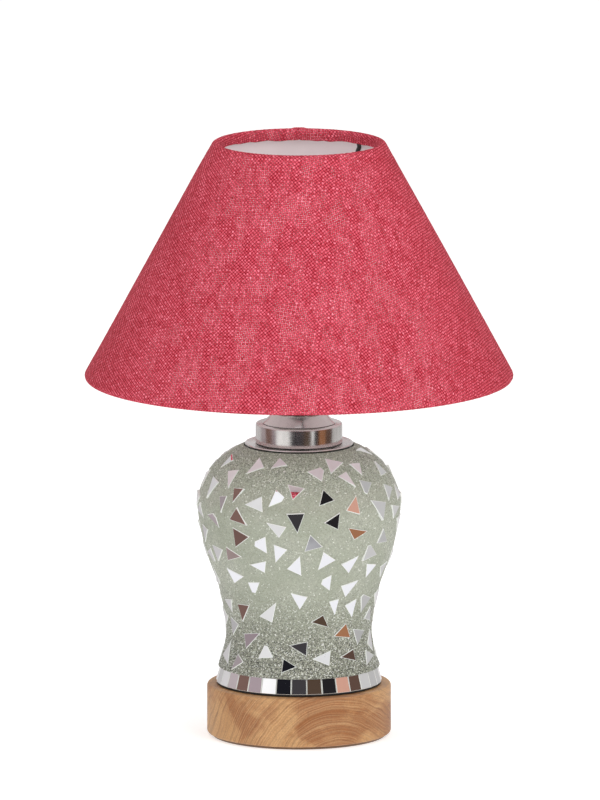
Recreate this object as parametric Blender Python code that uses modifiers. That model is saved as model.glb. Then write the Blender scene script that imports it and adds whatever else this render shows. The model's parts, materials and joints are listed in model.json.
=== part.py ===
"""A table lamp: turned wooden base, mosaic-covered glass vase, steel collar, E27 lampholder and conical jute shade.

Sizes are in metres. The lamp stands on z = 0 with its axis on +Z, its front towards -Y, and its cord leaves the
base at the back. Pieces that rest on each other are drawn REST apart.
"""

import math

import bmesh
import bpy
from mathutils import Vector

REST = 0.0003
BIG_ROUND = 32
SMALL_ROUND = 16
TINY_ROUND = 12
WELD = 1e-5

# The lamp pipe, and everything that slides over it
PIPE_R = 0.005
PIPE_BORE_R = 0.0037
PIPE_BOTTOM_Z = 0.0185
PIPE_TOP_Z = 0.240
OVER_PIPE_R = PIPE_R + 0.0004
NUT_FLATS = 0.014

# Base
FELT_R = 0.062
FELT_T = 0.0015
BASE_R = 0.0653
BASE_TOP_Z = 0.037
BASE_EDGE_R = 0.0015
BASE_WELL_R = 0.038
BASE_WELL_TOP_Z = 0.026
CORD_EXIT_Z = 0.009
CORD_HOLE_R = 0.0048

# Vase: knots and handle lengths of the mosaic's outer surface, as (radius, height)
GLASS_T = 0.003
SKIN_T = 0.0022
SKIN_FOOT_T = 0.0033
FOOT_GASKET_TOP_Z = BASE_TOP_Z + REST + 0.0012
GLASS_FOOT_Z = FOOT_GASKET_TOP_Z + REST
BAND_BOTTOM_R = 0.059
BAND_TOP_R = 0.056
BAND_TOP_Z = 0.0495
BAND_T = 0.0023
BAND_TILES = 33
SKIN_FOOT = (0.0573, BAND_TOP_Z + REST)
WAIST = (0.0517, 0.0795)
BELLY = (0.072, 0.1645)
SHOULDER = (0.0392, 0.2087)
NECK = (0.034, 0.2103)
FOOT_LEAN = 0.38
SHOULDER_LEAN = 0.37

# Collar
FLANGE_R = 0.0385
FLANGE_Z = 0.2092
SHEET_T = 0.001
CUP_R = 0.0308
CUP_BOTTOM_Z = FLANGE_Z + SHEET_T + REST
CUP_TOP_Z = 0.2243
CONE_BOTTOM_Z = CUP_TOP_Z + REST
CONE_TOP_Z = 0.232

# Lampholder
HOLDER_CAP_TOP_Z = 0.252
HOLDER_SEAT_Z = 0.2696
HOLDER_TOP_Z = 0.292
HOLDER_SLEEVE_R = 0.0196
HOLDER_BORE_R = 0.0172
INSERT_BOTTOM_Z = 0.253
INSERT_TOP_Z = 0.262
TERMINAL_X = 0.009

# Bulb: a candle-shaped E27 lamp
BULB_TIP_Z = 0.2669
BULB_CAP_TOP_Z = 0.291
BULB_CAP_R = 0.0132
BULB_R = 0.0185
BULB_TOP_Z = 0.3675
BULB_GLASS_T = 0.001

# Shade: the corners where its outer surface would meet its rims if they weren't rounded
SHADE_BOTTOM_R = 0.153
SHADE_BOTTOM_Z = 0.2575
SHADE_TOP_R = 0.0604
SHADE_TOP_Z = 0.4271
FABRIC_T = 0.0009
LINING_T = 0.0004
RIM_WIRE_R = 0.0013
HEM = 0.005
LINING_N = FABRIC_T + REST
WIRE_N = LINING_N + LINING_T + REST + RIM_WIRE_R
RIM_T = WIRE_N + RIM_WIRE_R + REST + FABRIC_T
WIRE_S = 0.0032
ARM_R = 0.0016
ARM_ANGLES = [math.radians(46.4 + 120 * i) for i in range(3)]
FITTER_BOTTOM_Z = 0.271
FITTER_T = 0.0016
FITTER_BORE_R = 0.0205
FITTER_R = 0.029
SHADE_WASHER_T = 0.0008

# Cord, in-line switch and plug, lying on the table behind the base
CORD_R = 0.0027
CORD_BORE_R = CORD_R + 0.0004
CORD_Z = CORD_R + 0.0005
CORD_BEND_R = 0.0095
SWITCH_Y = 0.100
SWITCH_SIZE = (0.058, 0.025, 0.0171)
SWITCH_BOTTOM_Z = 0.0004
SWITCH_SPLIT_Z = 0.0093
SWITCH_WALL = 0.0024
SWITCH_CORD_END_X = 0.0235
SWITCH_SCREW_XY = (0.017, 0.0945)
ROCKER_PIVOT = (0.0, SWITCH_Y, 0.012)
ROCKER_TILT = math.radians(8)
ROCKER_WIDTH = 0.009
WINDOW_SIZE = (0.0206, 0.010)
HANK_Y = 0.183
HANK_A = 0.052
HANK_B = HANK_Y - SWITCH_Y - 2 * CORD_BEND_R
HANK_PITCH = 0.0068
HANK_TURNS = 2.5
PLUG_TURN_R = 0.013
PLUG_SIZE = (0.033, 0.034, 0.0137)
PLUG_Z = SWITCH_BOTTOM_Z + PLUG_SIZE[2] / 2
PLUG_REAR_Y = 0.208
PIN_R = 0.002
PIN_SPACING = 0.0186
PIN_LENGTH = 0.019

LOOKS = {
    # name: (colour, roughness, metallic)
    "felt": ((0.03, 0.03, 0.03), 0.95, 0.0),
    "wood": ((0.52, 0.27, 0.12), 0.45, 0.0),
    "black rubber": ((0.02, 0.02, 0.02), 0.7, 0.0),
    "zinc": ((0.62, 0.62, 0.60), 0.4, 1.0),
    "clear glass": ((0.75, 0.85, 0.80), 0.1, 0.0),
    "mosaic": ((0.50, 0.53, 0.45), 0.5, 0.1),
    "mirror": ((0.85, 0.84, 0.83), 0.05, 1.0),
    "brushed steel": ((0.70, 0.68, 0.65), 0.3, 1.0),
    "black phenolic": ((0.02, 0.02, 0.02), 0.35, 0.0),
    "porcelain": ((0.85, 0.84, 0.80), 0.3, 0.0),
    "brass": ((0.80, 0.60, 0.25), 0.3, 1.0),
    "brown insulation": ((0.20, 0.09, 0.04), 0.5, 0.0),
    "blue insulation": ((0.05, 0.15, 0.45), 0.5, 0.0),
    "opal glass": ((0.93, 0.92, 0.88), 0.4, 0.0),
    "nickel": ((0.75, 0.74, 0.70), 0.3, 1.0),
    "fibre": ((0.35, 0.25, 0.18), 0.8, 0.0),
    "black wire": ((0.03, 0.03, 0.03), 0.4, 0.5),
    "white lining": ((0.85, 0.80, 0.78), 0.5, 0.0),
    "red jute": ((0.55, 0.10, 0.13), 0.9, 0.0),
    "black cord": ((0.02, 0.02, 0.02), 0.45, 0.0),
}

parts = None
cutters = None


# Building blocks


def clear_scene():
    for old in list(bpy.data.objects):
        bpy.data.objects.remove(old)


def new_collection(name):
    collection = bpy.data.collections.new(name)
    bpy.context.scene.collection.children.link(collection)
    return collection


def material(name, look):
    """A Principled material of its own for one piece."""
    colour, roughness, metallic = LOOKS[look]
    made = bpy.data.materials.new(name)
    made.use_nodes = True
    shader = made.node_tree.nodes["Principled BSDF"]
    shader.inputs["Base Color"].default_value = (*colour, 1.0)
    shader.inputs["Roughness"].default_value = roughness
    shader.inputs["Metallic"].default_value = metallic
    return made


def piece(name, data, look):
    """A named part of the lamp."""
    made = bpy.data.objects.new(name, data)
    parts.objects.link(made)
    data.materials.append(material(name, look))
    return made


def cutter(name, data):
    """A helper shape that is joined to a part or cut from it."""
    made = bpy.data.objects.new(name, data)
    cutters.objects.link(made)
    made.hide_render = True
    made.display_type = "WIRE"
    return made


def combine(target, helper, operation):
    step = target.modifiers.new(operation.lower(), "BOOLEAN")
    step.operation = operation
    step.object = helper
    return target


def cut(target, *helpers):
    for helper in helpers:
        combine(target, helper, "DIFFERENCE")
    return target


def join(target, *helpers):
    for helper in helpers:
        combine(target, helper, "UNION")
    return target


def profile_mesh(name, outline):
    """An outline of (radius, height) as edges. It is closed unless both its ends are on the axis."""
    mesh = bpy.data.meshes.new(name)
    on_axis = outline[0][0] == 0 and outline[-1][0] == 0
    edges = [(i, i + 1) for i in range(len(outline) - 1)]
    if not on_axis:
        edges.append((len(outline) - 1, 0))
    mesh.from_pydata([(r, 0.0, z) for r, z in outline], edges, [])
    return mesh


def turn(made, rounds):
    step = made.modifiers.new("turn", "SCREW")
    step.steps = rounds
    step.render_steps = rounds
    step.use_merge_vertices = True
    step.merge_threshold = WELD
    return made


def turned(name, outline, look, rounds=BIG_ROUND):
    """A piece turned about the lamp's axis. Its outline runs down its outer side."""
    return turn(piece(name, profile_mesh(name, outline), look), rounds)


def ring_outline(inner, outer, low, high):
    return [(inner, high), (outer, high), (outer, low), (inner, low)]


def cylinder_mesh(name, radius, low, high, rounds=SMALL_ROUND, centre=(0.0, 0.0)):
    """A closed cylinder or prism along Z."""
    mesh = bpy.data.meshes.new(name)
    shape = bmesh.new()
    bmesh.ops.create_cone(
        shape,
        cap_ends=True,
        segments=rounds,
        radius1=radius,
        radius2=radius,
        depth=high - low,
    )
    place = Vector((centre[0], centre[1], (low + high) / 2))
    bmesh.ops.translate(shape, vec=place, verts=shape.verts)
    shape.to_mesh(mesh)
    shape.free()
    mesh.shade_smooth()
    mesh.set_sharp_from_angle(angle=math.radians(40))
    return mesh


def box_mesh(name, low, high):
    mesh = bpy.data.meshes.new(name)
    shape = bmesh.new()
    bmesh.ops.create_cube(shape, size=1.0)
    size = [b - a for a, b in zip(low, high)]
    middle = Vector([(a + b) / 2 for a, b in zip(low, high)])
    bmesh.ops.scale(shape, vec=size, verts=shape.verts)
    bmesh.ops.translate(shape, vec=middle, verts=shape.verts)
    shape.to_mesh(mesh)
    shape.free()
    return mesh


def round_edges(made, width, segments=2):
    step = made.modifiers.new("round", "BEVEL")
    step.width = width
    step.segments = segments
    step.limit_method = "ANGLE"
    return made


def wire(name, path, radius, look, closed=False):
    """A round wire or cord along a path of points."""
    curve = bpy.data.curves.new(name, "CURVE")
    curve.dimensions = "3D"
    curve.bevel_depth = radius
    curve.bevel_resolution = 1
    curve.use_fill_caps = not closed
    spline = curve.splines.new("POLY")
    spline.points.add(len(path) - 1)
    for point, place in zip(spline.points, path):
        point.co = (*place, 1.0)
    spline.use_cyclic_u = closed
    return piece(name, curve, look)


def as_helper(made):
    """A wire made a mesh with welded caps, so that it can be joined to another piece."""
    bpy.context.view_layer.update()
    graph = bpy.context.evaluated_depsgraph_get()
    mesh = bpy.data.meshes.new_from_object(made.evaluated_get(graph))
    shape = bmesh.new()
    shape.from_mesh(mesh)
    bmesh.ops.remove_doubles(shape, verts=shape.verts, dist=WELD)
    shape.to_mesh(mesh)
    shape.free()
    name = made.name
    place = made.matrix_world.copy()
    bpy.data.objects.remove(made)
    helper = cutter(name, mesh)
    helper.matrix_world = place
    return helper


def strip(name, path, width, thickness, look):
    """A bent strip of sheet metal: a path of (x, z) as wide as width along Y."""
    mesh = bpy.data.meshes.new(name)
    shape = bmesh.new()
    rows = [
        [shape.verts.new((x, side * width / 2, z)) for side in (-1, 1)] for x, z in path
    ]
    for (a, b), (c, d) in zip(rows, rows[1:]):
        shape.faces.new((a, c, d, b))
    shape.to_mesh(mesh)
    shape.free()
    made = piece(name, mesh, look)
    step = made.modifiers.new("sheet", "SOLIDIFY")
    step.thickness = thickness
    step.offset = 0.0
    return made


def extruded(name, outline, width, look):
    """A flat outline of (x, z) extruded along Y, centred on y = 0."""
    curve = bpy.data.curves.new(name, "CURVE")
    curve.dimensions = "2D"
    curve.fill_mode = "BOTH"
    curve.extrude = width / 2
    spline = curve.splines.new("POLY")
    spline.points.add(len(outline) - 1)
    for point, (x, z) in zip(spline.points, outline):
        point.co = (x, z, 0.0, 1.0)
    spline.use_cyclic_u = True
    made = piece(name, curve, look)
    made.rotation_euler = (math.radians(90), 0, 0)
    return made


def bezier(start, leave, arrive, end, steps):
    """Points along a cubic Bezier curve from its start up to, but without, its end."""
    points = []
    for i in range(steps):
        t = i / steps
        u = 1 - t
        weights = (u**3, 3 * u * u * t, 3 * u * t * t, t**3)
        points.append(
            tuple(
                sum(w * p[axis] for w, p in zip(weights, (start, leave, arrive, end)))
                for axis in range(2)
            )
        )
    return points


def moved_in(outline, depths):
    """An outline that runs upwards, moved towards the axis by a depth at each point."""
    moved = []
    last = len(outline) - 1
    for i, ((r, z), depth) in enumerate(zip(outline, depths)):
        before = outline[max(i - 1, 0)]
        after = outline[min(i + 1, last)]
        along = Vector((after[0] - before[0], after[1] - before[1])).normalized()
        moved.append((r - along.y * depth, z + along.x * depth))
    return moved


def arc(centre, radius, start, end, steps):
    """Points along an arc in a plane, from one angle to another, both ends included."""
    points = []
    for i in range(steps + 1):
        angle = start + (end - start) * i / steps
        points.append(
            (
                centre[0] + radius * math.cos(angle),
                centre[1] + radius * math.sin(angle),
            )
        )
    return points


# Base


def felt_pad():
    piece("felt_pad", cylinder_mesh("felt_pad", FELT_R, 0.0, FELT_T, BIG_ROUND), "felt")


def wood_base():
    """A disc with a well underneath for the nut and the cord, and a hole for the cord at the back."""
    bottom = FELT_T + REST
    edge = BASE_R - BASE_EDGE_R
    top_edge = arc((edge, BASE_TOP_Z - BASE_EDGE_R), BASE_EDGE_R, math.pi / 2, 0, 2)
    bottom_edge = arc((edge, bottom + BASE_EDGE_R), BASE_EDGE_R, 0, -math.pi / 2, 2)
    outline = [(OVER_PIPE_R, BASE_TOP_Z)]
    outline += top_edge
    outline += bottom_edge
    outline += [(BASE_WELL_R, bottom), (BASE_WELL_R, BASE_WELL_TOP_Z)]
    outline += [(OVER_PIPE_R, BASE_WELL_TOP_Z)]
    base = turned("wood_base", outline, "wood")
    low, high = BASE_WELL_R / 2, BASE_R * 1.2
    hole = cutter("cord_hole", cylinder_mesh("cord_hole", CORD_HOLE_R, low, high))
    hole.location = (0, 0, CORD_EXIT_Z)
    hole.rotation_euler = (math.radians(-90), 0, 0)
    cut(base, hole)


def cord_grommet():
    """A sleeve in the cord hole with a flange outside, turned about the cord's axis."""
    sleeve_r = CORD_HOLE_R - REST
    flange_r = 0.0062
    flange_t = 0.0018
    inner_r = CORD_R + 0.0005
    inside = BASE_R - 0.010
    face = BASE_R + REST
    outline = [
        (inner_r, face + flange_t),
        (flange_r, face + flange_t),
        (flange_r, face),
        (sleeve_r, face),
        (sleeve_r, inside),
        (inner_r, inside),
    ]
    grommet = turned("cord_grommet", outline, "black rubber", SMALL_ROUND)
    grommet.location = (0, 0, CORD_EXIT_Z)
    grommet.rotation_euler = (math.radians(-90), 0, 0)


def hex_nut(name, low, high):
    corner_r = NUT_FLATS / math.sqrt(3)
    nut = piece(name, cylinder_mesh(name, corner_r, low, high, 6), "zinc")
    bore = cylinder_mesh(name + "_bore", OVER_PIPE_R, low - 0.002, high + 0.002)
    cut(nut, cutter(name + "_bore", bore))


def pipe_and_fastenings():
    """The pipe that clamps base, vase and collar together, with a washer and a nut at each end."""
    pipe = ring_outline(PIPE_BORE_R, PIPE_R, PIPE_BOTTOM_Z, PIPE_TOP_Z)
    turned("threaded_tube", pipe, "zinc", SMALL_ROUND)
    washer_top = BASE_WELL_TOP_Z - REST
    washer_t = 0.0013
    washer = ring_outline(OVER_PIPE_R, 0.015, washer_top - washer_t, washer_top)
    turned("base_washer", washer, "zinc", SMALL_ROUND)
    nut_top = washer_top - washer_t - REST
    hex_nut("base_nut", nut_top - 0.004, nut_top)
    low = CUP_TOP_Z + REST
    washer = ring_outline(OVER_PIPE_R, 0.0115, low, low + SHEET_T)
    turned("top_washer", washer, "zinc", SMALL_ROUND)
    nut_low = low + SHEET_T + REST
    hex_nut("top_nut", nut_low, nut_low + 0.0035)


# Vase


def vase_surface():
    """The mosaic's outer surface from its foot up to its shoulder."""
    foot_handle = 0.0095
    below_waist = 0.013
    above_waist = 0.029
    below_belly = 0.031
    above_belly = 0.019
    shoulder_handle = 0.0209
    leave_foot = (
        SKIN_FOOT[0] - foot_handle * math.sin(FOOT_LEAN),
        SKIN_FOOT[1] + foot_handle * math.cos(FOOT_LEAN),
    )
    reach_shoulder = (
        SHOULDER[0] + shoulder_handle * math.cos(SHOULDER_LEAN),
        SHOULDER[1] - shoulder_handle * math.sin(SHOULDER_LEAN),
    )
    surface = bezier(
        SKIN_FOOT, leave_foot, (WAIST[0], WAIST[1] - below_waist), WAIST, 2
    )
    surface += bezier(
        WAIST,
        (WAIST[0], WAIST[1] + above_waist),
        (BELLY[0], BELLY[1] - below_belly),
        BELLY,
        3,
    )
    surface += bezier(
        BELLY, (BELLY[0], BELLY[1] + above_belly), reach_shoulder, SHOULDER, 5
    )
    return surface + [SHOULDER]


def skin_depths(surface):
    """The mosaic's thickness at each point: thicker below the waist."""
    depths = []
    for _, z in surface:
        share = max(0.0, (WAIST[1] - z) / (WAIST[1] - SKIN_FOOT[1]))
        depths.append(SKIN_T + (SKIN_FOOT_T - SKIN_T) * share)
    return depths


def mosaic_skin():
    surface = vase_surface()
    inner = moved_in(surface, skin_depths(surface))
    inner[0] = (SKIN_FOOT[0] - SKIN_FOOT_T, SKIN_FOOT[1])
    turned("mosaic_skin", surface[::-1] + inner, "mosaic")


def glass_vase():
    """A blown glass body under the mosaic, open at its foot and its neck."""
    surface = vase_surface() + [NECK]
    depths = [depth + REST for depth in skin_depths(surface)]
    outer = moved_in(surface, depths)
    inner = moved_in(surface, [depth + GLASS_T for depth in depths])
    foot_r = SKIN_FOOT[0] - SKIN_FOOT_T - 0.0006
    outer[0] = (foot_r, SKIN_FOOT[1])
    inner[0] = (foot_r - GLASS_T, SKIN_FOOT[1])
    foot = [(foot_r, GLASS_FOOT_Z), (foot_r - GLASS_T, GLASS_FOOT_Z)]
    turned("glass_vase", outer[::-1] + foot + inner, "clear glass")


def mirror_tile_band():
    """One row of square mirrors round the foot: each is one facet of the ring."""
    outline = [
        (BAND_TOP_R - BAND_T, BAND_TOP_Z),
        (BAND_TOP_R, BAND_TOP_Z),
        (BAND_BOTTOM_R, GLASS_FOOT_Z),
        (BAND_BOTTOM_R - BAND_T, GLASS_FOOT_Z),
    ]
    turned("mirror_tile_band", outline, "mirror", BAND_TILES)


def gaskets():
    foot = ring_outline(
        0.044, BAND_BOTTOM_R - 0.0007, BASE_TOP_Z + REST, FOOT_GASKET_TOP_Z
    )
    turned("foot_gasket", foot, "black rubber")
    top = FLANGE_Z - REST
    turned(
        "neck_gasket", ring_outline(0.024, 0.0362, top - 0.0006, top), "black rubber"
    )


# Collar


def cap_flange():
    """A thin steel disc with a rolled edge."""
    roll_r = 0.0008
    roll = (FLANGE_R - roll_r, FLANGE_Z + SHEET_T / 2)
    outline = [(OVER_PIPE_R, FLANGE_Z + SHEET_T)]
    outline += arc(roll, roll_r, math.radians(140), math.radians(-140), 4)
    outline += [(OVER_PIPE_R, FLANGE_Z)]
    turned("cap_flange", outline, "brushed steel")


def collar_cup():
    corner = 0.0011
    inner_r = CUP_R - SHEET_T
    outline = [(OVER_PIPE_R, CUP_TOP_Z)]
    outline += arc((CUP_R - corner, CUP_TOP_Z - corner), corner, math.pi / 2, 0, 3)
    outline += [(CUP_R, CUP_BOTTOM_Z), (inner_r, CUP_BOTTOM_Z)]
    outline += [(inner_r, CUP_TOP_Z - SHEET_T), (OVER_PIPE_R, CUP_TOP_Z - SHEET_T)]
    turned("collar_cup", outline, "brushed steel")


def collar_cone():
    outer = [(0.0186, CONE_TOP_Z), (0.0195, CONE_TOP_Z - 0.0006)]
    outer += [(0.022, 0.228), (0.0262, CONE_BOTTOM_Z)]
    inner = [(0.0248, CONE_BOTTOM_Z), (0.0212, 0.2276), (0.0184, CONE_TOP_Z - SHEET_T)]
    outline = [(OVER_PIPE_R, CONE_TOP_Z)] + outer + inner
    outline += [(OVER_PIPE_R, CONE_TOP_Z - SHEET_T)]
    turned("collar_cone", outline, "brushed steel")


# Lampholder


def lampholder_cap():
    """The lower half of the holder, over the pipe, with room for the terminals."""
    bottom = CONE_TOP_Z + 0.0004
    outline = [
        (0.0194, HOLDER_CAP_TOP_Z),
        (0.021, HOLDER_CAP_TOP_Z),
        (0.021, bottom + 0.0076),
        (0.0196, bottom + 0.0026),
        (0.0165, bottom),
        (OVER_PIPE_R, bottom),
        (OVER_PIPE_R, bottom + 0.0026),
        (0.0155, bottom + 0.0026),
        (0.0182, bottom + 0.0056),
        (0.0194, bottom + 0.0091),
    ]
    turned("lampholder_cap", outline, "nickel", SMALL_ROUND)


def lampholder_body():
    """The upper half: a seat for the shade and a sleeve with the thread of the shade ring."""
    bottom = HOLDER_CAP_TOP_Z + REST
    seat_r = 0.0243
    outline = [
        (HOLDER_BORE_R, HOLDER_TOP_Z),
        (HOLDER_SLEEVE_R, HOLDER_TOP_Z),
        (HOLDER_SLEEVE_R, HOLDER_SEAT_Z),
        (seat_r, HOLDER_SEAT_Z),
        (seat_r, HOLDER_SEAT_Z - 0.002),
        (0.022, HOLDER_SEAT_Z - 0.0041),
        (0.022, bottom),
        (HOLDER_BORE_R, bottom),
    ]
    turned("lampholder_body", outline, "black phenolic", SMALL_ROUND)


def lampholder_inside():
    """Porcelain insert with two terminal screws, a brass screw shell and a sprung centre contact."""
    insert_r = HOLDER_BORE_R - REST
    insert = piece(
        "lampholder_insert",
        cylinder_mesh("lampholder_insert", insert_r, INSERT_BOTTOM_Z, INSERT_TOP_Z),
        "porcelain",
    )
    for name, side in (("live_terminal_screw", -1), ("neutral_terminal_screw", 1)):
        centre = (side * TERMINAL_X, 0.0)
        bore_name = name + "_bore"
        bore = cylinder_mesh(
            bore_name, 0.0018, INSERT_BOTTOM_Z - 0.003, 0.259, TINY_ROUND, centre
        )
        cut(insert, cutter(bore_name, bore))
        head_top = INSERT_BOTTOM_Z - 0.0004
        head_low = head_top - 0.0024
        outline = [
            (0.0, 0.2585),
            (0.0013, 0.2585),
            (0.0013, head_top),
            (0.0026, head_top),
            (0.0026, head_low),
            (0.0, head_low),
        ]
        screw = turned(name, outline, "brass", TINY_ROUND)
        screw.location = (*centre, 0.0)
    shell_bottom = INSERT_TOP_Z + 0.0013
    shell = ring_outline(0.0139, 0.0146, shell_bottom, HOLDER_TOP_Z - 0.006)
    turned("lampholder_screw_shell", shell, "brass", SMALL_ROUND)
    low = INSERT_TOP_Z + 0.00055
    tongue = [(-0.007, low), (0.0046, low), (0.0054, low + 0.0006)]
    tongue += [(-0.0026, BULB_TIP_Z - 0.0006)]
    strip("centre_contact", tongue, 0.005, 0.0005, "brass")


def conductors():
    """The cord's two cores, from its end inside the cap to the terminal screws."""
    low = PIPE_TOP_Z + 0.0034
    for name, side, look in (
        ("live_wire", -1, "brown insulation"),
        ("neutral_wire", 1, "blue insulation"),
    ):
        path = [(0.0013, low), (0.002, low + 0.0026), (0.006, low + 0.0048)]
        path += [(TERMINAL_X + 0.001, low + 0.0054)]
        wire(name, [(side * x, 0.0, z) for x, z in path], 0.0009, look)


# Bulb


def bulb_surface():
    """The glass envelope's outline, from its tip down to its neck."""
    shoulder_z = BULB_CAP_TOP_Z + 0.029
    neck_r = BULB_CAP_R - 0.0005
    neck_z = BULB_CAP_TOP_Z + REST
    tip = (0.0, BULB_TOP_Z)
    surface = bezier(
        tip,
        (0.008, BULB_TOP_Z - 0.0005),
        (BULB_R, shoulder_z + 0.024),
        (BULB_R, shoulder_z),
        4,
    )
    surface += bezier(
        (BULB_R, shoulder_z),
        (BULB_R, shoulder_z - 0.014),
        (neck_r, neck_z + 0.010),
        (neck_r, neck_z),
        3,
    )
    return surface + [(neck_r, neck_z)]


def bulb():
    outer = bulb_surface()
    inner = moved_in(outer[::-1], [BULB_GLASS_T] * len(outer))
    inner[-1] = (0.0, BULB_TOP_Z - BULB_GLASS_T)
    turned("bulb_envelope", outer + inner, "opal glass", SMALL_ROUND)
    cap_bottom = 0.2709
    cap_wall = 0.0008
    outline = [
        (BULB_CAP_R - cap_wall, BULB_CAP_TOP_Z),
        (BULB_CAP_R, BULB_CAP_TOP_Z),
        (BULB_CAP_R, cap_bottom + 0.0036),
        (0.010, cap_bottom),
        (0.0085, cap_bottom),
        (0.0085, cap_bottom + cap_wall),
        (0.0096, cap_bottom + cap_wall),
        (BULB_CAP_R - cap_wall, cap_bottom + 0.004),
    ]
    turned("bulb_screw_cap", outline, "nickel", SMALL_ROUND)
    insulator_top = cap_bottom - REST
    insulator_low = BULB_TIP_Z + 0.0011
    outline = [
        (0.0, insulator_top),
        (0.0095, insulator_top),
        (0.0048, insulator_low),
        (0.0, insulator_low),
    ]
    turned("bulb_insulator", outline, "black phenolic", SMALL_ROUND)
    contact_top = insulator_low - REST
    outline = [
        (0.0, contact_top),
        (0.0038, contact_top),
        (0.003, BULB_TIP_Z),
        (0.0, BULB_TIP_Z),
    ]
    turned("bulb_tip_contact", outline, "nickel", TINY_ROUND)
    low = cap_bottom + 0.004
    rise = [(0.0025, low), (0.0025, 0.305), (0.0075, 0.335), (0.0, 0.339)]
    path = [(-x, 0.0, z) for x, z in rise]
    path += [(x, 0.0, z) for x, z in rise[-2::-1]]
    wire("bulb_filament", path, 0.0006, "nickel")


# Shade


def on_cone(along, inwards):
    """(radius, height) of a point so far up the shade's slant and so far in from its outer surface."""
    rise = SHADE_TOP_Z - SHADE_BOTTOM_Z
    run = SHADE_BOTTOM_R - SHADE_TOP_R
    slant = math.hypot(rise, run)
    radius = SHADE_BOTTOM_R - (along * run + inwards * rise) / slant
    height = SHADE_BOTTOM_Z + (along * rise - inwards * run) / slant
    return radius, height


def slant_length():
    return math.hypot(SHADE_TOP_Z - SHADE_BOTTOM_Z, SHADE_BOTTOM_R - SHADE_TOP_R)


def shade_fabric():
    """Jute that goes round both rim wires and is hemmed inside, with a slit in the top hem for each arm."""
    fold_r = RIM_T / 2
    inner_r = fold_r - FABRIC_T
    top = slant_length() - fold_r
    quarter = math.pi / 2
    outer_top = arc((top, fold_r), fold_r, quarter, -quarter, 3)
    inner_top = arc((top, fold_r), inner_r, quarter, -quarter, 2)
    outer_bottom = arc((fold_r, fold_r), fold_r, -quarter, -3 * quarter, 3)
    inner_bottom = arc((fold_r, fold_r), inner_r, -quarter, -3 * quarter, 2)
    layout = outer_top + outer_bottom
    layout += [(fold_r + HEM, RIM_T), (fold_r + HEM, RIM_T - FABRIC_T)]
    layout += inner_bottom[::-1]
    layout += inner_top[::-1]
    layout += [(top - HEM, RIM_T - FABRIC_T), (top - HEM, RIM_T)]
    fabric = turned("shade_fabric", [on_cone(s, n) for s, n in layout], "red jute")
    wire_r, wire_z = on_cone(slant_length() - WIRE_S, WIRE_N)
    half = ARM_R + 0.001
    for i, angle in enumerate(ARM_ANGLES):
        name = f"arm_slit_{i + 1}"
        low = (wire_r - 0.014, -half, wire_z - 0.014)
        high = (wire_r - 0.0003, half, wire_z + 0.0008)
        slit = cutter(name, box_mesh(name, low, high))
        slit.rotation_euler = (0, 0, angle)
        cut(fabric, slit)


def shade_lining():
    ends = (LINING_N + 0.0022, slant_length() - LINING_N - 0.0022)
    low, high = ends
    layout = [
        (high, LINING_N + LINING_T),
        (high, LINING_N),
        (low, LINING_N),
        (low, LINING_N + LINING_T),
    ]
    turned("shade_lining", [on_cone(s, n) for s, n in layout], "white lining")


def rim_wire(name, along):
    radius, height = on_cone(along, WIRE_N)
    path = [
        (radius * math.cos(a), radius * math.sin(a), height)
        for a in (2 * math.pi * i / BIG_ROUND for i in range(BIG_ROUND))
    ]
    return wire(name, path, RIM_WIRE_R, "black wire", closed=True)


def shade_frame():
    """Fitter ring, top rim wire and three drop arms between them, welded into one piece."""
    fitter = ring_outline(
        FITTER_BORE_R, FITTER_R, FITTER_BOTTOM_Z, FITTER_BOTTOM_Z + FITTER_T
    )
    frame = turned("shade_frame", fitter, "black wire")
    rim = on_cone(slant_length() - WIRE_S, WIRE_N)
    arm_z = FITTER_BOTTOM_Z + ARM_R + 0.0001
    arm = [
        (rim[0] - 0.0006, rim[1] - 0.0008),
        (rim[0] - 0.0032, rim[1] - 0.0044),
        (rim[0] - 0.0042, rim[1] - 0.011),
        (rim[0] - 0.016, arm_z + 0.010),
        (rim[0] - 0.0182, arm_z + 0.0035),
        (rim[0] - 0.0225, arm_z),
        (FITTER_R - 0.0016, arm_z),
    ]
    for i, angle in enumerate(ARM_ANGLES):
        path = [(r * math.cos(angle), r * math.sin(angle), z) for r, z in arm]
        join(frame, as_helper(wire(f"arm_{i + 1}", path, ARM_R, "black wire")))
    join(frame, as_helper(rim_wire("top_rim", slant_length() - WIRE_S)))


def shade_fastening():
    """A fibre washer under the fitter, and the ring that screws down on it."""
    top = FITTER_BOTTOM_Z - REST
    washer = ring_outline(HOLDER_SLEEVE_R + 0.0005, 0.024, top - SHADE_WASHER_T, top)
    turned("shade_washer", washer, "fibre")
    low = FITTER_BOTTOM_Z + FITTER_T + REST
    bore = HOLDER_SLEEVE_R + 0.0004
    outline = [
        (bore, low + 0.0066),
        (0.0225, low + 0.0066),
        (0.0228, low + 0.0018),
        (0.0256, low + 0.0018),
        (0.0256, low),
        (bore, low),
    ]
    ring = turned("shade_ring", outline, "black phenolic")
    grips = 8
    for i in range(grips):
        angle = 2 * math.pi * i / grips
        centre = (0.0224 * math.cos(angle), 0.0224 * math.sin(angle))
        name = f"ring_grip_{i + 1}"
        grip = cylinder_mesh(name, 0.0014, low + 0.001, low + 0.0062, 8, centre)
        join(ring, cutter(name, grip))


# Cord, switch and plug


def bend(centre, radius, start, end, steps):
    """Points along a level bend, as (x, y); angles in degrees."""
    return arc(centre, radius, math.radians(start), math.radians(end), steps)


def at_heights(points, first, last):
    """(x, y) points given a height that changes evenly from first to last."""
    steps = len(points) - 1
    return [(*p, first + (last - first) * i / steps) for i, p in enumerate(points)]


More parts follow.
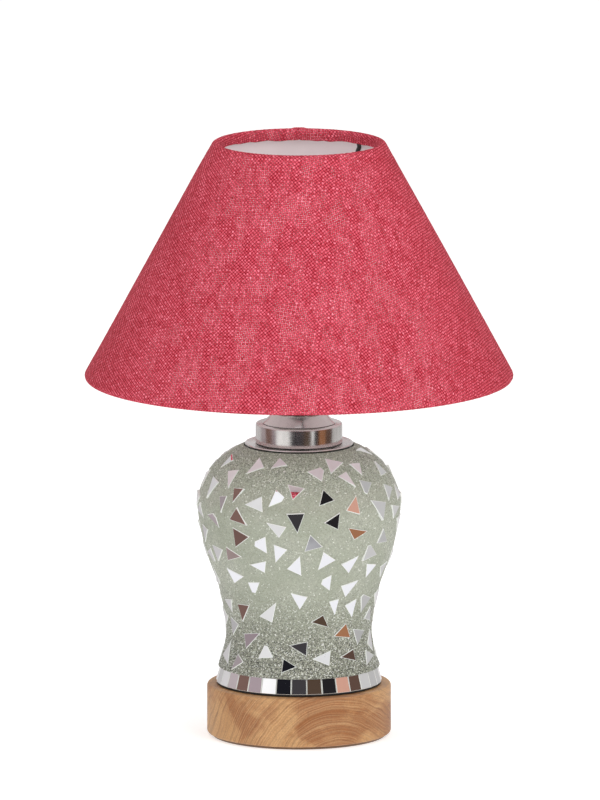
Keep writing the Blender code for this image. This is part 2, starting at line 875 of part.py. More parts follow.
def cord_lamp_side():
    """From the terminals down the pipe, out of the base at the back and into the switch."""
    r = CORD_BEND_R
    path = [(0.0, 0.0, PIPE_TOP_Z + 0.003)]
    down = arc((r, CORD_EXIT_Z + r), r, math.pi, 3 * math.pi / 2, 5)
    path += [(0.0, y, z) for y, z in down]
    exit_y = 0.070
    run_y = SWITCH_Y - 2 * r
    turn_r = run_y - exit_y
    path += at_heights(
        bend((-turn_r, exit_y), turn_r, 0, 90, 4), CORD_EXIT_Z, CORD_Z + 0.001
    )
    turn_x = -0.031
    path += [(turn_x + 0.010, run_y, CORD_Z)]
    path += at_heights(
        bend((turn_x, run_y + r), r, -90, -270, 6), CORD_Z, SWITCH_SPLIT_Z
    )
    path += [(-SWITCH_CORD_END_X, SWITCH_Y, SWITCH_SPLIT_Z + REST / 2)]
    wire("cord_lamp_side", path, CORD_R, "black cord")


def hank(turns, steps_per_turn=16):
    """A flat oval coil that starts at its front, goes clockwise and shrinks by one pitch a turn."""
    points = []
    for i in range(1, int(turns * steps_per_turn) + 1):
        turned_by = i / steps_per_turn
        angle = 2 * math.pi * turned_by
        shrink = HANK_PITCH * turned_by
        x = -(HANK_A - shrink) * math.sin(angle)
        y = HANK_Y - (HANK_B - shrink) * math.cos(angle)
        points.append((x, y, CORD_Z))
    return points


def cord_plug_side():
    """From the switch round the hank to the plug in its middle."""
    r = CORD_BEND_R
    turn_x = 0.031
    path = [(SWITCH_CORD_END_X, SWITCH_Y, SWITCH_SPLIT_Z + REST / 2)]
    path += at_heights(
        bend((turn_x, SWITCH_Y + r), r, -90, 90, 6), SWITCH_SPLIT_Z, CORD_Z
    )
    path += [(0.0, HANK_Y - HANK_B, CORD_Z)]
    path += hank(HANK_TURNS)
    back_y = path[-1][1]
    turn_y = back_y - PLUG_TURN_R
    path += at_heights(
        bend((0.0, turn_y), PLUG_TURN_R, 72, 0, 4), CORD_Z + 0.0005, PLUG_Z - 0.0005
    )
    path += [(PLUG_TURN_R, PLUG_REAR_Y - 0.007, PLUG_Z)]
    wire("cord_plug_side", path, CORD_R, "black cord")


def switch_box(name, low, high):
    """A half of the switch's housing, outside and cavity, between two heights."""
    length, width, height = SWITCH_SIZE
    bottom = SWITCH_BOTTOM_Z
    half_x, half_y = length / 2, width / 2
    corner_low = (-half_x, SWITCH_Y - half_y, bottom)
    corner_high = (half_x, SWITCH_Y + half_y, bottom + height)
    half = piece(name, box_mesh(name, corner_low, corner_high), "black phenolic")
    round_edges(half, 0.003)
    over = 0.004
    if low > bottom:
        off = box_mesh(
            name + "_off",
            (-half_x - over, SWITCH_Y - half_y - over, bottom - over),
            (half_x + over, SWITCH_Y + half_y + over, low),
        )
    else:
        off = box_mesh(
            name + "_off",
            (-half_x - over, SWITCH_Y - half_y - over, high),
            (half_x + over, SWITCH_Y + half_y + over, bottom + height + over),
        )
    inside = box_mesh(
        name + "_cavity",
        (-half_x + SWITCH_WALL, SWITCH_Y - half_y + SWITCH_WALL, bottom + 0.002),
        (half_x - SWITCH_WALL, SWITCH_Y + half_y - SWITCH_WALL, bottom + height - 0.002),
    )
    cut(half, cutter(name + "_off", off), cutter(name + "_cavity", inside))
    cord_z = SWITCH_SPLIT_Z + REST / 2
    reach = half_x + over
    way = cylinder_mesh(name + "_cord_way", CORD_BORE_R, -reach, reach)
    way = cutter(name + "_cord_way", way)
    way.location = (0, SWITCH_Y, cord_z)
    way.rotation_euler = (0, math.radians(90), 0)
    return cut(half, way)


def switch():
    """Two half shells, a rocker, the contact bar it presses and the screw that holds the shells."""
    top = SWITCH_BOTTOM_Z + SWITCH_SIZE[2]
    base = switch_box("switch_base", SWITCH_BOTTOM_Z, SWITCH_SPLIT_Z)
    cover = switch_box("switch_cover", SWITCH_SPLIT_Z + REST, top)
    length, width = WINDOW_SIZE
    window = box_mesh(
        "rocker_window",
        (-length / 2, SWITCH_Y - width / 2, top - 0.004),
        (length / 2, SWITCH_Y + width / 2, top + 0.002),
    )
    cut(cover, cutter("rocker_window", window))
    centre = SWITCH_SCREW_XY
    boss = cylinder_mesh(
        "screw_boss", 0.003, SWITCH_SPLIT_Z + REST, top - 0.001, TINY_ROUND, centre
    )
    thread = cylinder_mesh(
        "screw_thread", 0.0017, SWITCH_SPLIT_Z - 0.002, top - 0.004, TINY_ROUND, centre
    )
    join(cover, cutter("screw_boss", boss))
    cut(cover, cutter("screw_thread", thread))
    way = cylinder_mesh("screw_way", 0.0017, -0.002, 0.005, TINY_ROUND, centre)
    sink = cylinder_mesh("screw_sink", 0.003, -0.002, 0.0014, TINY_ROUND, centre)
    cut(base, cutter("screw_way", way), cutter("screw_sink", sink))
    screw = [
        (0.0, top - 0.0045),
        (0.0013, top - 0.0045),
        (0.0013, 0.0011),
        (0.0026, 0.0011),
        (0.0026, 0.0006),
        (0.0, 0.0006),
    ]
    turned("switch_screw", screw, "zinc", TINY_ROUND).location = (*centre, 0.0)
    floor = SWITCH_BOTTOM_Z + 0.0026
    spring = [(-0.012, floor), (-0.005, floor), (0.0, floor + 0.0042)]
    spring += [(-x, z) for x, z in spring[1::-1]]
    bar = strip("switch_contact_bar", spring, 0.005, 0.0005, "brass")
    bar.location = (0, SWITCH_Y, 0)


def switch_rocker():
    """The rocker, resting in its off position. Its empty is on the pivot axis."""
    pivot = bpy.data.objects.new("rocker_pivot", None)
    parts.objects.link(pivot)
    pivot.location = ROCKER_PIVOT
    pivot.rotation_euler = (0, -ROCKER_TILT, 0)
    outline = [
        (-0.0088, 0.0062),
        (-0.0088, 0.0005),
        (-0.003, -0.0025),
        (0.003, -0.0025),
        (0.0088, 0.0005),
        (0.0088, 0.0062),
        (0.0, 0.005),
    ]
    rocker = extruded("switch_rocker", outline, ROCKER_WIDTH, "black phenolic")
    rocker.parent = pivot


def plug():
    """A flat two-pin plug that lies in the middle of the hank, pins towards the lamp."""
    width, length, height = PLUG_SIZE
    x = PLUG_TURN_R
    front = PLUG_REAR_Y - length
    low = (x - width / 2, front, PLUG_Z - height / 2)
    high = (x + width / 2, PLUG_REAR_Y, PLUG_Z + height / 2)
    body = piece("plug_body", box_mesh("plug_body", low, high), "black phenolic")
    round_edges(body, 0.004)
    deep = 0.009
    turned_to_y = (math.radians(-90), 0, 0)
    entry = cylinder_mesh("plug_entry", CORD_BORE_R, -0.009, 0.004)
    entry = cutter("plug_entry", entry)
    entry.location = (x, PLUG_REAR_Y, PLUG_Z)
    entry.rotation_euler = turned_to_y
    cut(body, entry)
    for name, side in (("plug_pin_left", -1), ("plug_pin_right", 1)):
        pin_x = x + side * PIN_SPACING / 2
        pin = [
            (0.0, deep - REST),
            (PIN_R, deep - REST),
            (PIN_R, 0.0006 - PIN_LENGTH),
            (PIN_R - 0.0006, -PIN_LENGTH),
            (0.0, -PIN_LENGTH),
        ]
        pin = turned(name, pin, "nickel", TINY_ROUND)
        bore = cylinder_mesh(name + "_bore", PIN_R + REST, -0.003, deep, TINY_ROUND)
        bore = cutter(name + "_bore", bore)
        for made in (pin, bore):
            made.location = (pin_x, front, PLUG_Z)
            made.rotation_euler = turned_to_y
        cut(body, bore)


def main():
    global parts, cutters
    clear_scene()
    parts = new_collection("mosaic_glass_table_lamp")
    cutters = new_collection("cutters")
    felt_pad()
    wood_base()
    cord_grommet()
    pipe_and_fastenings()
    mosaic_skin()
    glass_vase()
    mirror_tile_band()
    gaskets()
    cap_flange()
    collar_cup()
    collar_cone()
    lampholder_cap()
    lampholder_body()
    lampholder_inside()
    conductors()
    bulb()
    shade_fabric()
    shade_lining()
    shade_frame()
    rim_wire("shade_bottom_ring", WIRE_S)
    shade_fastening()
    cord_lamp_side()
    switch()
    switch_rocker()
    cord_plug_side()
    plug()


main()
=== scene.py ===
"""The looks of the mosaic table lamp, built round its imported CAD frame.

Everything is in metres, in the CAD frame: the lamp's axis is +Z, its front faces -Y. Turned pieces are turned
again from the outlines of their CAD nodes, with rounded edges. The jute shade, the mosaic, the mirror band
and the cord get their own meshes. Every piece gets a procedural material.
"""

import json
from math import atan2, cos, dist, hypot, pi, radians, sin, tan

import bmesh
import bpy
import numpy as np
from mathutils import Matrix, Vector


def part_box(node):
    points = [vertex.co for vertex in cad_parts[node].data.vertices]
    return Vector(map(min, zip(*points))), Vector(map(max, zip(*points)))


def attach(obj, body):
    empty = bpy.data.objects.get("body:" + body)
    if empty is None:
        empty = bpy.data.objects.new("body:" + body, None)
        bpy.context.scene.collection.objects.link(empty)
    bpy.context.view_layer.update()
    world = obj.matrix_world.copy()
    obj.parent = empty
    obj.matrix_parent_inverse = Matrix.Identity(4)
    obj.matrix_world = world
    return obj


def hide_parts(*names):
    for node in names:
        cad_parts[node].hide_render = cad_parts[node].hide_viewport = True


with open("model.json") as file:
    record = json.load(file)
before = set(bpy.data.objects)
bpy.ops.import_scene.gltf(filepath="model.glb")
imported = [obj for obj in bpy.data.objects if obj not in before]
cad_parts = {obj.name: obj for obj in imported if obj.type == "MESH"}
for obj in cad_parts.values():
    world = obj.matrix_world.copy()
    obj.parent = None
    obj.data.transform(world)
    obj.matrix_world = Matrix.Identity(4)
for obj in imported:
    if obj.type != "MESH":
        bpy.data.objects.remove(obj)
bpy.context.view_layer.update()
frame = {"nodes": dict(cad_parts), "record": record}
NODES = frame["nodes"]
BODIES = frame["record"]["behaviour"]["bodies"]
BODY_OF = {node: body for body, nodes in BODIES.items() for node in nodes}
SLOT_OF = {row["node"]: row["material_slot"] for row in frame["record"]["subparts"]}
TAU = 2 * pi

# Points this near are the same point, and heights this near are level
SAME = 1e-6
LEVEL = 1e-5

# Jute shade
THREAD_PITCH = 0.0019
WEAVE_TURN = radians(38)
WEAVE_RELIEF = 0.00016
SLUB = 0.00003
FABRIC_T = 0.0007
FABRIC_SAG = 0.0005
HEM = 0.005
HEM_RAGGED = 0.0004
HEM_FRAYS = 160
RIM_FOLD = 0.00285
RIM_TAUT = 0.006
UV_SHIFT = 400.0
SEAM_HALF_WIDTH = 0.0055
SEAM_STEPS = 110
JUTE_DEEP = (0.47, 0.018, 0.034)
JUTE_ROSE = (0.70, 0.078, 0.122)
JUTE_PINK = (0.92, 0.26, 0.33)
# Painted shade in the gaps between the jute's threads
JUTE_PAINTED_GAP_SHADE = (0.16, 0.004, 0.012)
LINING_SEEN = (1.0, 0.62, 0.66)

# Shade frame
WIRE_ARM_R = 0.0016
FITTER_T = 0.0016
FITTER_R = 0.029
FITTER_BORE_R = 0.0205
ARM_START = 46.4

# Mosaic
GROUND_STEP = 0.0011
BELLY_R = 0.068
GRAIN_HEIGHT = 0.00022
GROUND_T = 0.0018
GROUND_BACK_ROWS = 24
NORMAL_STEP = 0.002
CHIP_THROWS = 2600
CHIP_THROW_R = 0.072
CHIP_MARGIN = 0.0072
CHIP_GAP = 0.0040
CHIP_NEAR = 0.024
CHIP_REACH = 0.014
CHIP_SNAPPED = 0.16
CHIP_SIZE = (0.0070, 0.0091)
CHIP_PROUD = 0.0005
CHIP_DEPTH = 0.0016
CHIP_EDGE = 0.0003
CHIP_BED_MARGIN = 0.0005
CHIP_TILT = radians(2.8)
TILE_COUNT = 33
TILE_GAP = 0.0004
TILE_SHORT = 0.0001
TILE_DEPTH = 0.0016
TILE_EDGE = 0.00018
TILE_TILT = 0.006
TILE_TRIM = 0.00025
BAND_T = 0.0022
GROUT_BACK = 0.0009

# Mango wood
RINGS_PER_METRE = 215.0
WOOD_TAN = (0.46, 0.215, 0.075)
WOOD_PALE = (0.66, 0.380, 0.165)
WOOD_HEART = (0.34, 0.120, 0.034)
WOOD_LINE = (0.26, 0.105, 0.038)
WOOD_PORE = (0.17, 0.07, 0.025)
# Painted sheen: the lighter streaks along the fine grain
WOOD_GLEAM = (0.78, 0.51, 0.26)

# Cord: its bends, where it leaves the base and the switch, and the hank
CORD_R = 0.0027
CORD_BEND = 0.0095
EXIT_Y = 0.070
SWITCH_END_X = 0.0235
SWITCH_TURN_X = 0.031
HANK_Y = 0.183
HANK_A = 0.052
HANK_PITCH = 0.0068
HANK_TURNS = 2.5
HANK_STEPS = 56

# Camera: a long lens, a little above the lamp
VIEW_ELEVATION = radians(10)
VIEW_DISTANCE = 16.0
METRES_PER_PIXEL = 0.000709
FRAME_HEIGHT_PIXELS = 800
SENSOR = 36.0
VIEW_CENTRE = (0.0007, 0.0, 0.2405)

# Studio: the lights as (name, place, size, power)
FLOOR_HALF = 30.0
LIGHTS = (
    ("key", (1.6, -2.2, 1.9), 1.8, 32.0),
    ("fill", (-2.2, -1.8, 1.5), 2.0, 10.0),
    ("top", (0.0, 0.4, 2.6), 2.4, 14.0),
)

# The room that only the mirrors see: bands as (azimuth of the left edge, colour)
ROOM_BANDS = (
    (-180, (0.62, 0.60, 0.60)),
    (-122, (0.42, 0.36, 0.37)),
    (-100, (0.22, 0.13, 0.11)),
    (-78, (0.36, 0.29, 0.31)),
    (-64, (1.0, 0.99, 0.98)),
    (-25, (0.012, 0.012, 0.016)),
    (-9, (0.06, 0.055, 0.06)),
    (12, (0.10, 0.065, 0.045)),
    (31, (0.95, 0.95, 0.95)),
    (40, (0.02, 0.018, 0.02)),
    (54, (0.36, 0.165, 0.085)),
    (74, (0.11, 0.065, 0.05)),
    (98, (0.58, 0.57, 0.56)),
    (150, (0.70, 0.68, 0.68)),
)

# Coloured things in the room: azimuths where each fades in and out, elevations where it starts, colour
ROOM_PATCHES = (
    ((0.05, 0.08, 0.28, 0.31), (0.25, 0.29), (0.42, 0.105, 0.028)),
    ((0.93, 0.95, 1.28, 1.30), (0.20, 0.24), (0.66, 0.36, 0.27)),
)

CEILING = (0.98, 0.98, 1.0)
GROUND = (0.93, 0.93, 0.96)
WHITE = (1.0, 1.0, 1.0)


# Node trees


class Tree:
    """A node tree built by calls that return output sockets."""

    def __init__(self, owner):
        owner.use_nodes = True
        self.tree = owner.node_tree
        self.tree.nodes.clear()

    def node(self, kind, inputs=None, output=0, **settings):
        made = self.tree.nodes.new("ShaderNode" + kind)
        for key, value in settings.items():
            setattr(made, key, value)
        for key, value in (inputs or {}).items():
            if isinstance(value, bpy.types.NodeSocket):
                self.tree.links.new(value, made.inputs[key])
            else:
                made.inputs[key].default_value = value
        return made.outputs[output] if len(made.outputs) else None

    def math(self, operation, a, b=0.0, c=0.0, clamp=False):
        return self.node("Math", {0: a, 1: b, 2: c}, operation=operation, use_clamp=clamp)

    def times(self, first, *others):
        for other in others:
            first = self.math("MULTIPLY", first, other)
        return first

    def fit(self, value, scale, shift):
        return self.math("MULTIPLY_ADD", value, scale, shift)

    def scaled(self, vector, scale):
        return self.node("VectorMath", {0: vector, 1: scale}, operation="MULTIPLY")

    def warped(self, vector, scale, reach):
        """A vector pushed about by soft noise, by up to half of reach each way."""
        noise = self.node("TexNoise", {"Vector": vector, "Scale": scale, "Detail": 3.0}, "Color")
        offset = self.node("VectorMath", {0: noise, 1: (0.5, 0.5, 0.5)}, operation="SUBTRACT")
        return self.node("VectorMath", {0: vector, 1: self.scaled(offset, reach)}, operation="ADD")

    def split(self, vector):
        outputs = self.node("SeparateXYZ", {0: vector}).node.outputs
        return outputs[0], outputs[1], outputs[2]

    def join(self, x=0.0, y=0.0, z=0.0):
        return self.node("CombineXYZ", {0: x, 1: y, 2: z})

    def mix(self, factor, a, b, blend_type="MIX"):
        inputs = {0: factor, 6: self.rgba(a), 7: self.rgba(b)}
        return self.node("Mix", inputs, 2, data_type="RGBA", blend_type=blend_type)

    def tinted(self, colour, tint):
        return self.mix(1.0, colour, tint, "MULTIPLY")

    @staticmethod
    def rgba(colour):
        return colour if isinstance(colour, bpy.types.NodeSocket) else (*colour, 1.0)

    def choose(self, factor, a, b):
        return self.node("Mix", {0: factor, 2: a, 3: b}, data_type="FLOAT")

    def grey(self, value):
        return self.node("CombineColor", {0: value, 1: value, 2: value})

    def between(self, value, low, high, start=0.0, end=1.0, smooth=True):
        """A value mapped from low..high to start..end, held at the ends."""
        inputs = {0: value, 1: low, 2: high, 3: start, 4: end}
        kind = "SMOOTHSTEP" if smooth else "LINEAR"
        return self.node("MapRange", inputs, interpolation_type=kind)

    def window(self, value, rise, risen, fall, fallen):
        """1 between two edges, fading to 0 outside them."""
        return self.times(self.between(value, rise, risen), self.between(value, fall, fallen, 1.0, 0.0))

    def ramp(self, value, stops, interpolation="LINEAR"):
        made = self.node("ValToRGB", {0: value}).node
        made.color_ramp.interpolation = interpolation
        elements = made.color_ramp.elements
        while len(elements) < len(stops):
            elements.new(1.0)
        for element, (position, colour) in zip(elements, stops):
            element.position = position
            element.color = (*colour, 1.0)
        return made.outputs[0]

    def noise(self, vector, scale, detail=2.0, roughness=0.5, distortion=0.0):
        inputs = {"Vector": vector, "Scale": scale, "Detail": detail}
        inputs.update({"Roughness": roughness, "Distortion": distortion})
        return self.node("TexNoise", inputs)

    def cells(self, vector, scale, output="Distance"):
        return self.node("TexVoronoi", {"Vector": vector, "Scale": scale}, output)

    def position(self):
        return self.node("TexCoord", None, "Object")

    def bump(self, height, distance, strength=1.0):
        return self.node("Bump", {"Height": height, "Distance": distance, "Strength": strength})


def finish_material(tree, colour, roughness, metallic=0.0, normal=None, **more):
    inputs = {"Base Color": Tree.rgba(colour), "Roughness": roughness, "Metallic": metallic}
    if normal is not None:
        inputs["Normal"] = normal
    inputs.update({key.replace("_", " "): value for key, value in more.items()})
    shader = tree.node("BsdfPrincipled", inputs)
    tree.node("OutputMaterial", {"Surface": shader})


made_materials = {}


def material(maker, *arguments):
    """The material that this function builds from these arguments, made once."""
    key = (maker, arguments)
    if key not in made_materials:
        made = bpy.data.materials.new(maker.__name__)
        maker(Tree(made), *arguments)
        made_materials[key] = made
    return made_materials[key]


# Materials


def jute(tree):
    """Plain weave: warp and weft cross over each other by turns, with painted shade and streaks of the lining
    in the gaps between them.
    """
    uv = tree.node("UVMap", uv_map="weave")
    u, v, _ = tree.split(tree.warped(uv, 0.09, (1.6, 1.6, 0.0)))
    column, row = tree.math("FLOOR", u), tree.math("FLOOR", v)
    parity = tree.math("PINGPONG", tree.math("ADD", column, row), 1.0)
    round_u, round_v = thread_round(tree, u), thread_round(tree, v)
    warp_size = thread_size(tree, column, v, 3.7)
    weft_size = thread_size(tree, row, u, 9.1)
    warp = thread_height(tree, round_u, round_v, warp_size)
    weft = thread_height(tree, round_v, round_u, weft_size)
    over = tree.choose(parity, warp, weft)
    fibres = tree.choose(parity, thread_fibres(tree, u, v, 0.5), thread_fibres(tree, v, u, 5.5))
    colour = tree.ramp(fibres, [(0.28, JUTE_DEEP), (0.5, JUTE_ROSE), (0.74, JUTE_PINK)])
    facing = tree.node("LayerWeight", {"Blend": 0.5}, "Facing")
    tint = tree.node("TexWhiteNoise", {"Vector": tree.join(column, row, 1.0)}, noise_dimensions="3D")
    patch = tree.noise(uv, 0.035, 4.0, 0.6)
    # Painted shade and highlight: darker low on each thread and lighter on its crown, the two sets of
    # crossings lit unequally as if from one side, and darker where the cloth turns away from the view. The
    # per-thread tone and the slow patches are the jute's own.
    shade = tree.times(
        tree.between(over, 0.15, 0.95, 0.30, 1.22, False),
        tree.fit(tint, 0.34, 0.83),
        tree.fit(parity, -0.20, 1.10),
        tree.between(patch, 0.3, 0.7, 0.94, 1.06, False),
        tree.between(facing, 0.25, 0.85, 1.0, 0.84),
    )
    deeper = [tree.math("POWER", shade, power) for power in (0.85, 2.1, 1.9)]
    colour = tree.tinted(colour, tree.node("CombineColor", dict(enumerate(deeper))))
    wide = tree.math("MAXIMUM", tree.times(round_u, warp_size), tree.times(round_v, weft_size))
    hole = tree.between(wide, 0.34, 0.60, 1.0, 0.0)
    streaks = tree.noise(tree.scaled(tree.position(), (80.0, 80.0, 15.0)), 1.0, 4.0, 0.65)
    through = tree.times(tree.between(facing, 0.15, 0.50, 1.0, 0.0), tree.between(streaks, 0.40, 0.68))
    # The gaps: painted shade, with the lining showing in streaks where the cloth faces the view
    gap = tree.mix(through, JUTE_PAINTED_GAP_SHADE, LINING_SEEN)
    colour = tree.mix(tree.times(hole, 0.92), colour, gap)
    normal = tree.bump(tree.fit(fibres, 0.25, over), 0.00045, 0.8)
    finish_material(tree, colour, 0.92, normal=normal, Specular_IOR_Level=0.12, Sheen_Weight=0.04)


def thread_round(tree, across):
    """1 along the middle of each thread, 0 at its sides."""
    offset = tree.fit(tree.math("FRACT", across), 2.0, -1.0)
    return tree.math("SUBTRACT", 1.0, tree.math("POWER", offset, 2.0))


def thread_size(tree, number, along, seed):
    """How thick each thread is: it changes from thread to thread and slowly along each."""
    place = tree.join(number, tree.times(along, 0.22), seed)
    return tree.between(tree.noise(place, 1.0, 2.0), 0.25, 0.75, 0.60, 1.25, False)


def thread_height(tree, across, along, size):
    return tree.times(tree.math("SQRT", across), tree.fit(along, 0.5, 0.5), size)


def thread_fibres(tree, across, along, seed):
    place = tree.join(tree.times(across, 6.0), tree.times(along, 1.2), seed)
    return tree.noise(place, 1.0, 3.0, 0.7)


def lining(tree):
    """White sheet, painted with a faint pink flush and glow that stand in for light through the jute behind
    it.
    """
    grain = tree.noise(tree.position(), 900.0, 3.0)
    cloud = tree.noise(tree.position(), 22.0, 3.0)
    # Painted light: the pink tint and the faint emission stand for light coming through the jute.
    colour = tree.mix(tree.between(cloud, 0.3, 0.7), (0.74, 0.66, 0.67), (0.80, 0.72, 0.73))
    glow = {"Emission_Color": (1.0, 0.85, 0.86, 1.0), "Emission_Strength": 0.05}
    finish_material(tree, colour, 0.5, normal=tree.bump(grain, 0.0002, 0.25), **glow)


def crushed_glass(tree):
    """Grey-green grit: glass grains in grout, coarser towards the foot and the neck, darker at the foot, with
    painted light at the neck and painted glints.
    """
    place = tree.position()
    height = tree.split(place)[2]
    foot = tree.between(height, 0.050, 0.122, 1.0, 0.0)
    neck = tree.between(height, 0.176, 0.200)
    coarse = tree.math("MAXIMUM", foot, tree.times(neck, 0.45))
    cloud = tree.noise(place, 30.0, 4.0, 0.6)
    coarse = tree.math("MULTIPLY_ADD", tree.between(cloud, 0.35, 0.7), 0.25, coarse, clamp=True)
    grains = tree.cells(place, 1500.0)
    tone, glint, gloss = tree.split(tree.cells(place, 1500.0, "Color"))
    base = tree.mix(tree.between(cloud, 0.35, 0.65), (0.375, 0.400, 0.315), (0.455, 0.475, 0.390))
    # Painted light: lighter, greener grit at the neck, against the shadow of the lampshade
    base = tree.mix(tree.times(neck, 0.6), base, (0.50, 0.56, 0.44))
    base = tree.mix(tree.times(foot, 0.45), base, (0.300, 0.300, 0.235))
    dark = tree.fit(coarse, -0.78, 0.88)
    bright = tree.fit(coarse, 0.10, 1.12)
    speck = tree.node("MapRange", {0: tone, 1: 0.0, 2: 1.0, 3: dark, 4: bright})
    colour = tree.tinted(base, tree.grey(speck))
    # Painted highlight: pale specks where grains glint, more of them where the grit is coarse
    glint = tree.math("GREATER_THAN", glint, tree.fit(coarse, -0.10, 0.992))
    colour = tree.mix(tree.times(glint, 0.7), colour, (0.93, 0.95, 0.90))
    normal = tree.bump(tree.math("SUBTRACT", 1.0, grains), 0.0005, 0.6)
    roughness = tree.between(gloss, 0.2, 0.9, 0.2, 0.65, False)
    finish_material(tree, colour, roughness, normal=normal, Coat_Weight=0.12, Coat_Roughness=0.15)


def mirror_glass(tree):
    """Silvered glass: a clear reflection with a few age specks and a faint tint."""
    place = tree.position()
    spot = tree.between(tree.cells(place, 420.0), 0.04, 0.11, 1.0, 0.0)
    rare = tree.between(tree.noise(place, 90.0, 2.0), 0.56, 0.64)
    spot = tree.times(spot, rare)
    colour = tree.mix(spot, (0.93, 0.93, 0.945), (0.20, 0.19, 0.18))
    normal = tree.bump(tree.noise(place, 55.0, 1.0), 0.00025, 0.12)
    finish_material(tree, colour, tree.fit(spot, 0.4, 0.02), 1.0, normal)


def brushed_steel(tree):
    """Lathe-brushed steel: fine rings round the axis."""
    x, y, z = tree.split(tree.position())
    radius = tree.math("SQRT", tree.math("ADD", tree.times(x, x), tree.times(y, y)))
    turn = tree.math("ARCTAN2", y, x)
    brush = tree.noise(tree.scaled(tree.join(turn, radius, z), (1.5, 9000.0, 9000.0)), 1.0, 3.0, 0.7)
    smudge = tree.noise(tree.position(), 70.0, 3.0)
    colour = tree.mix(brush, (0.66, 0.635, 0.62), (0.82, 0.80, 0.785))
    polish = tree.between(brush, 0.3, 0.7, 0.15, 0.23, False)
    roughness = tree.math("ADD", polish, tree.between(smudge, 0.4, 0.7, 0.0, 0.05))
    finish_material(tree, colour, roughness, 1.0, tree.bump(brush, 0.00001, 0.25))


def mango_wood(tree):
    """Rings of a plank sawn off centre, with brown heart patches, short dark pores and painted sheen along
    the fine grain.
    """
    place = tree.position()
    x, y, z = tree.split(tree.warped(place, 13.0, (0.020, 0.030, 0.020)))
    from_pith = tree.join(tree.math("ADD", x, -0.030), 0.0, tree.math("ADD", z, 0.022))
    rings = tree.node("VectorMath", {0: from_pith}, "Value", operation="LENGTH")
    rings = tree.fit(y, 0.12, rings)
    wander = tree.noise(tree.join(tree.times(rings, 70.0), 0.0, 5.0), 1.0, 2.0)
    ring = tree.math("FRACT", tree.fit(wander, 3.0, tree.times(rings, RINGS_PER_METRE)))
    late = tree.window(ring, 0.45, 0.92, 0.93, 1.0)
    broad = tree.noise(tree.join(tree.times(rings, 120.0)), 1.0, 3.0, 0.6)
    fine = tree.noise(tree.join(tree.times(rings, 1500.0), tree.times(y, 40.0)), 1.0, 3.0)
    patch = tree.noise(tree.scaled(place, (1.0, 1.0, 1.4)), 21.0, 4.0, 0.6, 0.4)
    colour = tree.mix(broad, WOOD_TAN, WOOD_PALE)
    colour = tree.mix(tree.between(patch, 0.42, 0.58, 0.0, 0.95), colour, WOOD_HEART)
    colour = tree.mix(tree.times(late, tree.between(broad, 0.3, 0.7, 0.15, 0.60)), colour, WOOD_LINE)
    along = tree.scaled(tree.join(x, y, rings), (160.0, 50.0, 2200.0))
    pores = tree.between(tree.noise(along, 1.0, 2.0, 0.6), 0.58, 0.70)
    colour = tree.mix(tree.times(pores, 0.62), colour, WOOD_PORE)
    # Painted sheen along the fine grain
    colour = tree.mix(tree.between(fine, 0.35, 0.75, 0.0, 0.42), colour, WOOD_GLEAM)
    grit = tree.between(tree.noise(place, 1100.0, 2.0, 0.6), 0.3, 0.7, 0.84, 1.12, False)
    colour = tree.tinted(colour, tree.grey(grit))
    normal = tree.bump(tree.math("SUBTRACT", fine, tree.times(pores, 1.5)), 0.00015, 0.4)
    roughness = tree.between(fine, 0.3, 0.7, 0.42, 0.56)
    finish_material(tree, colour, roughness, normal=normal, Coat_Weight=0.12, Coat_Roughness=0.35)


def moulded(tree, colour, roughness, grain):
    """A plain moulding or coating: faint grain, uneven gloss."""
    fine = tree.noise(tree.position(), 1800.0, 2.0)
    cloud = tree.noise(tree.position(), 60.0, 3.0)
    lighter = tuple(min(1.0, c * 1.25 + 0.004) for c in colour)
    shown = tree.mix(tree.between(cloud, 0.3, 0.7), colour, lighter)
    gloss = tree.between(cloud, 0.3, 0.7, roughness * 0.85, min(1.0, roughness * 1.2), False)
    finish_material(tree, shown, gloss, normal=tree.bump(fine, 0.0001, grain))


def grained(tree, grain, colours, roughness, relief, *more):
    """Two colours mixed by one noise, which also stands up as the relief."""
    noise = tree.noise(tree.position(), *grain)
    normal = tree.bump(noise, *relief)
    finish_material(tree, tree.mix(noise, *colours), roughness, normal=normal, **dict(more))


def plated(tree, colour, roughness):
    """Stamped or plated metal with fine scratches."""
    scratch = tree.noise(tree.scaled(tree.position(), (300.0, 300.0, 4000.0)), 1.0, 3.0, 0.7)
    darker = tuple(c * 0.8 for c in colour)
    shown = tree.mix(scratch, darker, colour)
    gloss = tree.between(scratch, 0.3, 0.7, roughness * 0.8, roughness * 1.3, False)
    finish_material(tree, shown, gloss, 1.0, tree.bump(scratch, 0.00003, 0.3))


# Grained looks: noise (scale, detail, roughness), dark and pale colour, roughness, relief (depth, strength)
CUT_GLASS_EDGE = (grained, (1400.0, 2.0), ((0.80, 0.83, 0.79), (0.97, 0.98, 0.95)), 0.22, (0.0001, 0.4))
PALE_GROUT = (grained, (1600.0, 3.0), ((0.55, 0.56, 0.52), (0.80, 0.80, 0.77)), 0.8, (0.0002, 0.6))
FELT = (grained, (2600.0, 4.0, 0.8), ((0.16, 0.10, 0.065), (0.30, 0.20, 0.13)), 0.95, (0.0004, 0.8))
OPAL = (grained, (80.0, 2.0), ((0.86, 0.85, 0.81), (0.94, 0.93, 0.90)), 0.28, (0.0001, 0.1))
CLEAR_GLASS = (grained, (40.0, 2.0), ((0.70, 0.82, 0.76), (0.80, 0.90, 0.85)), 0.08, (0.0005, 0.2))

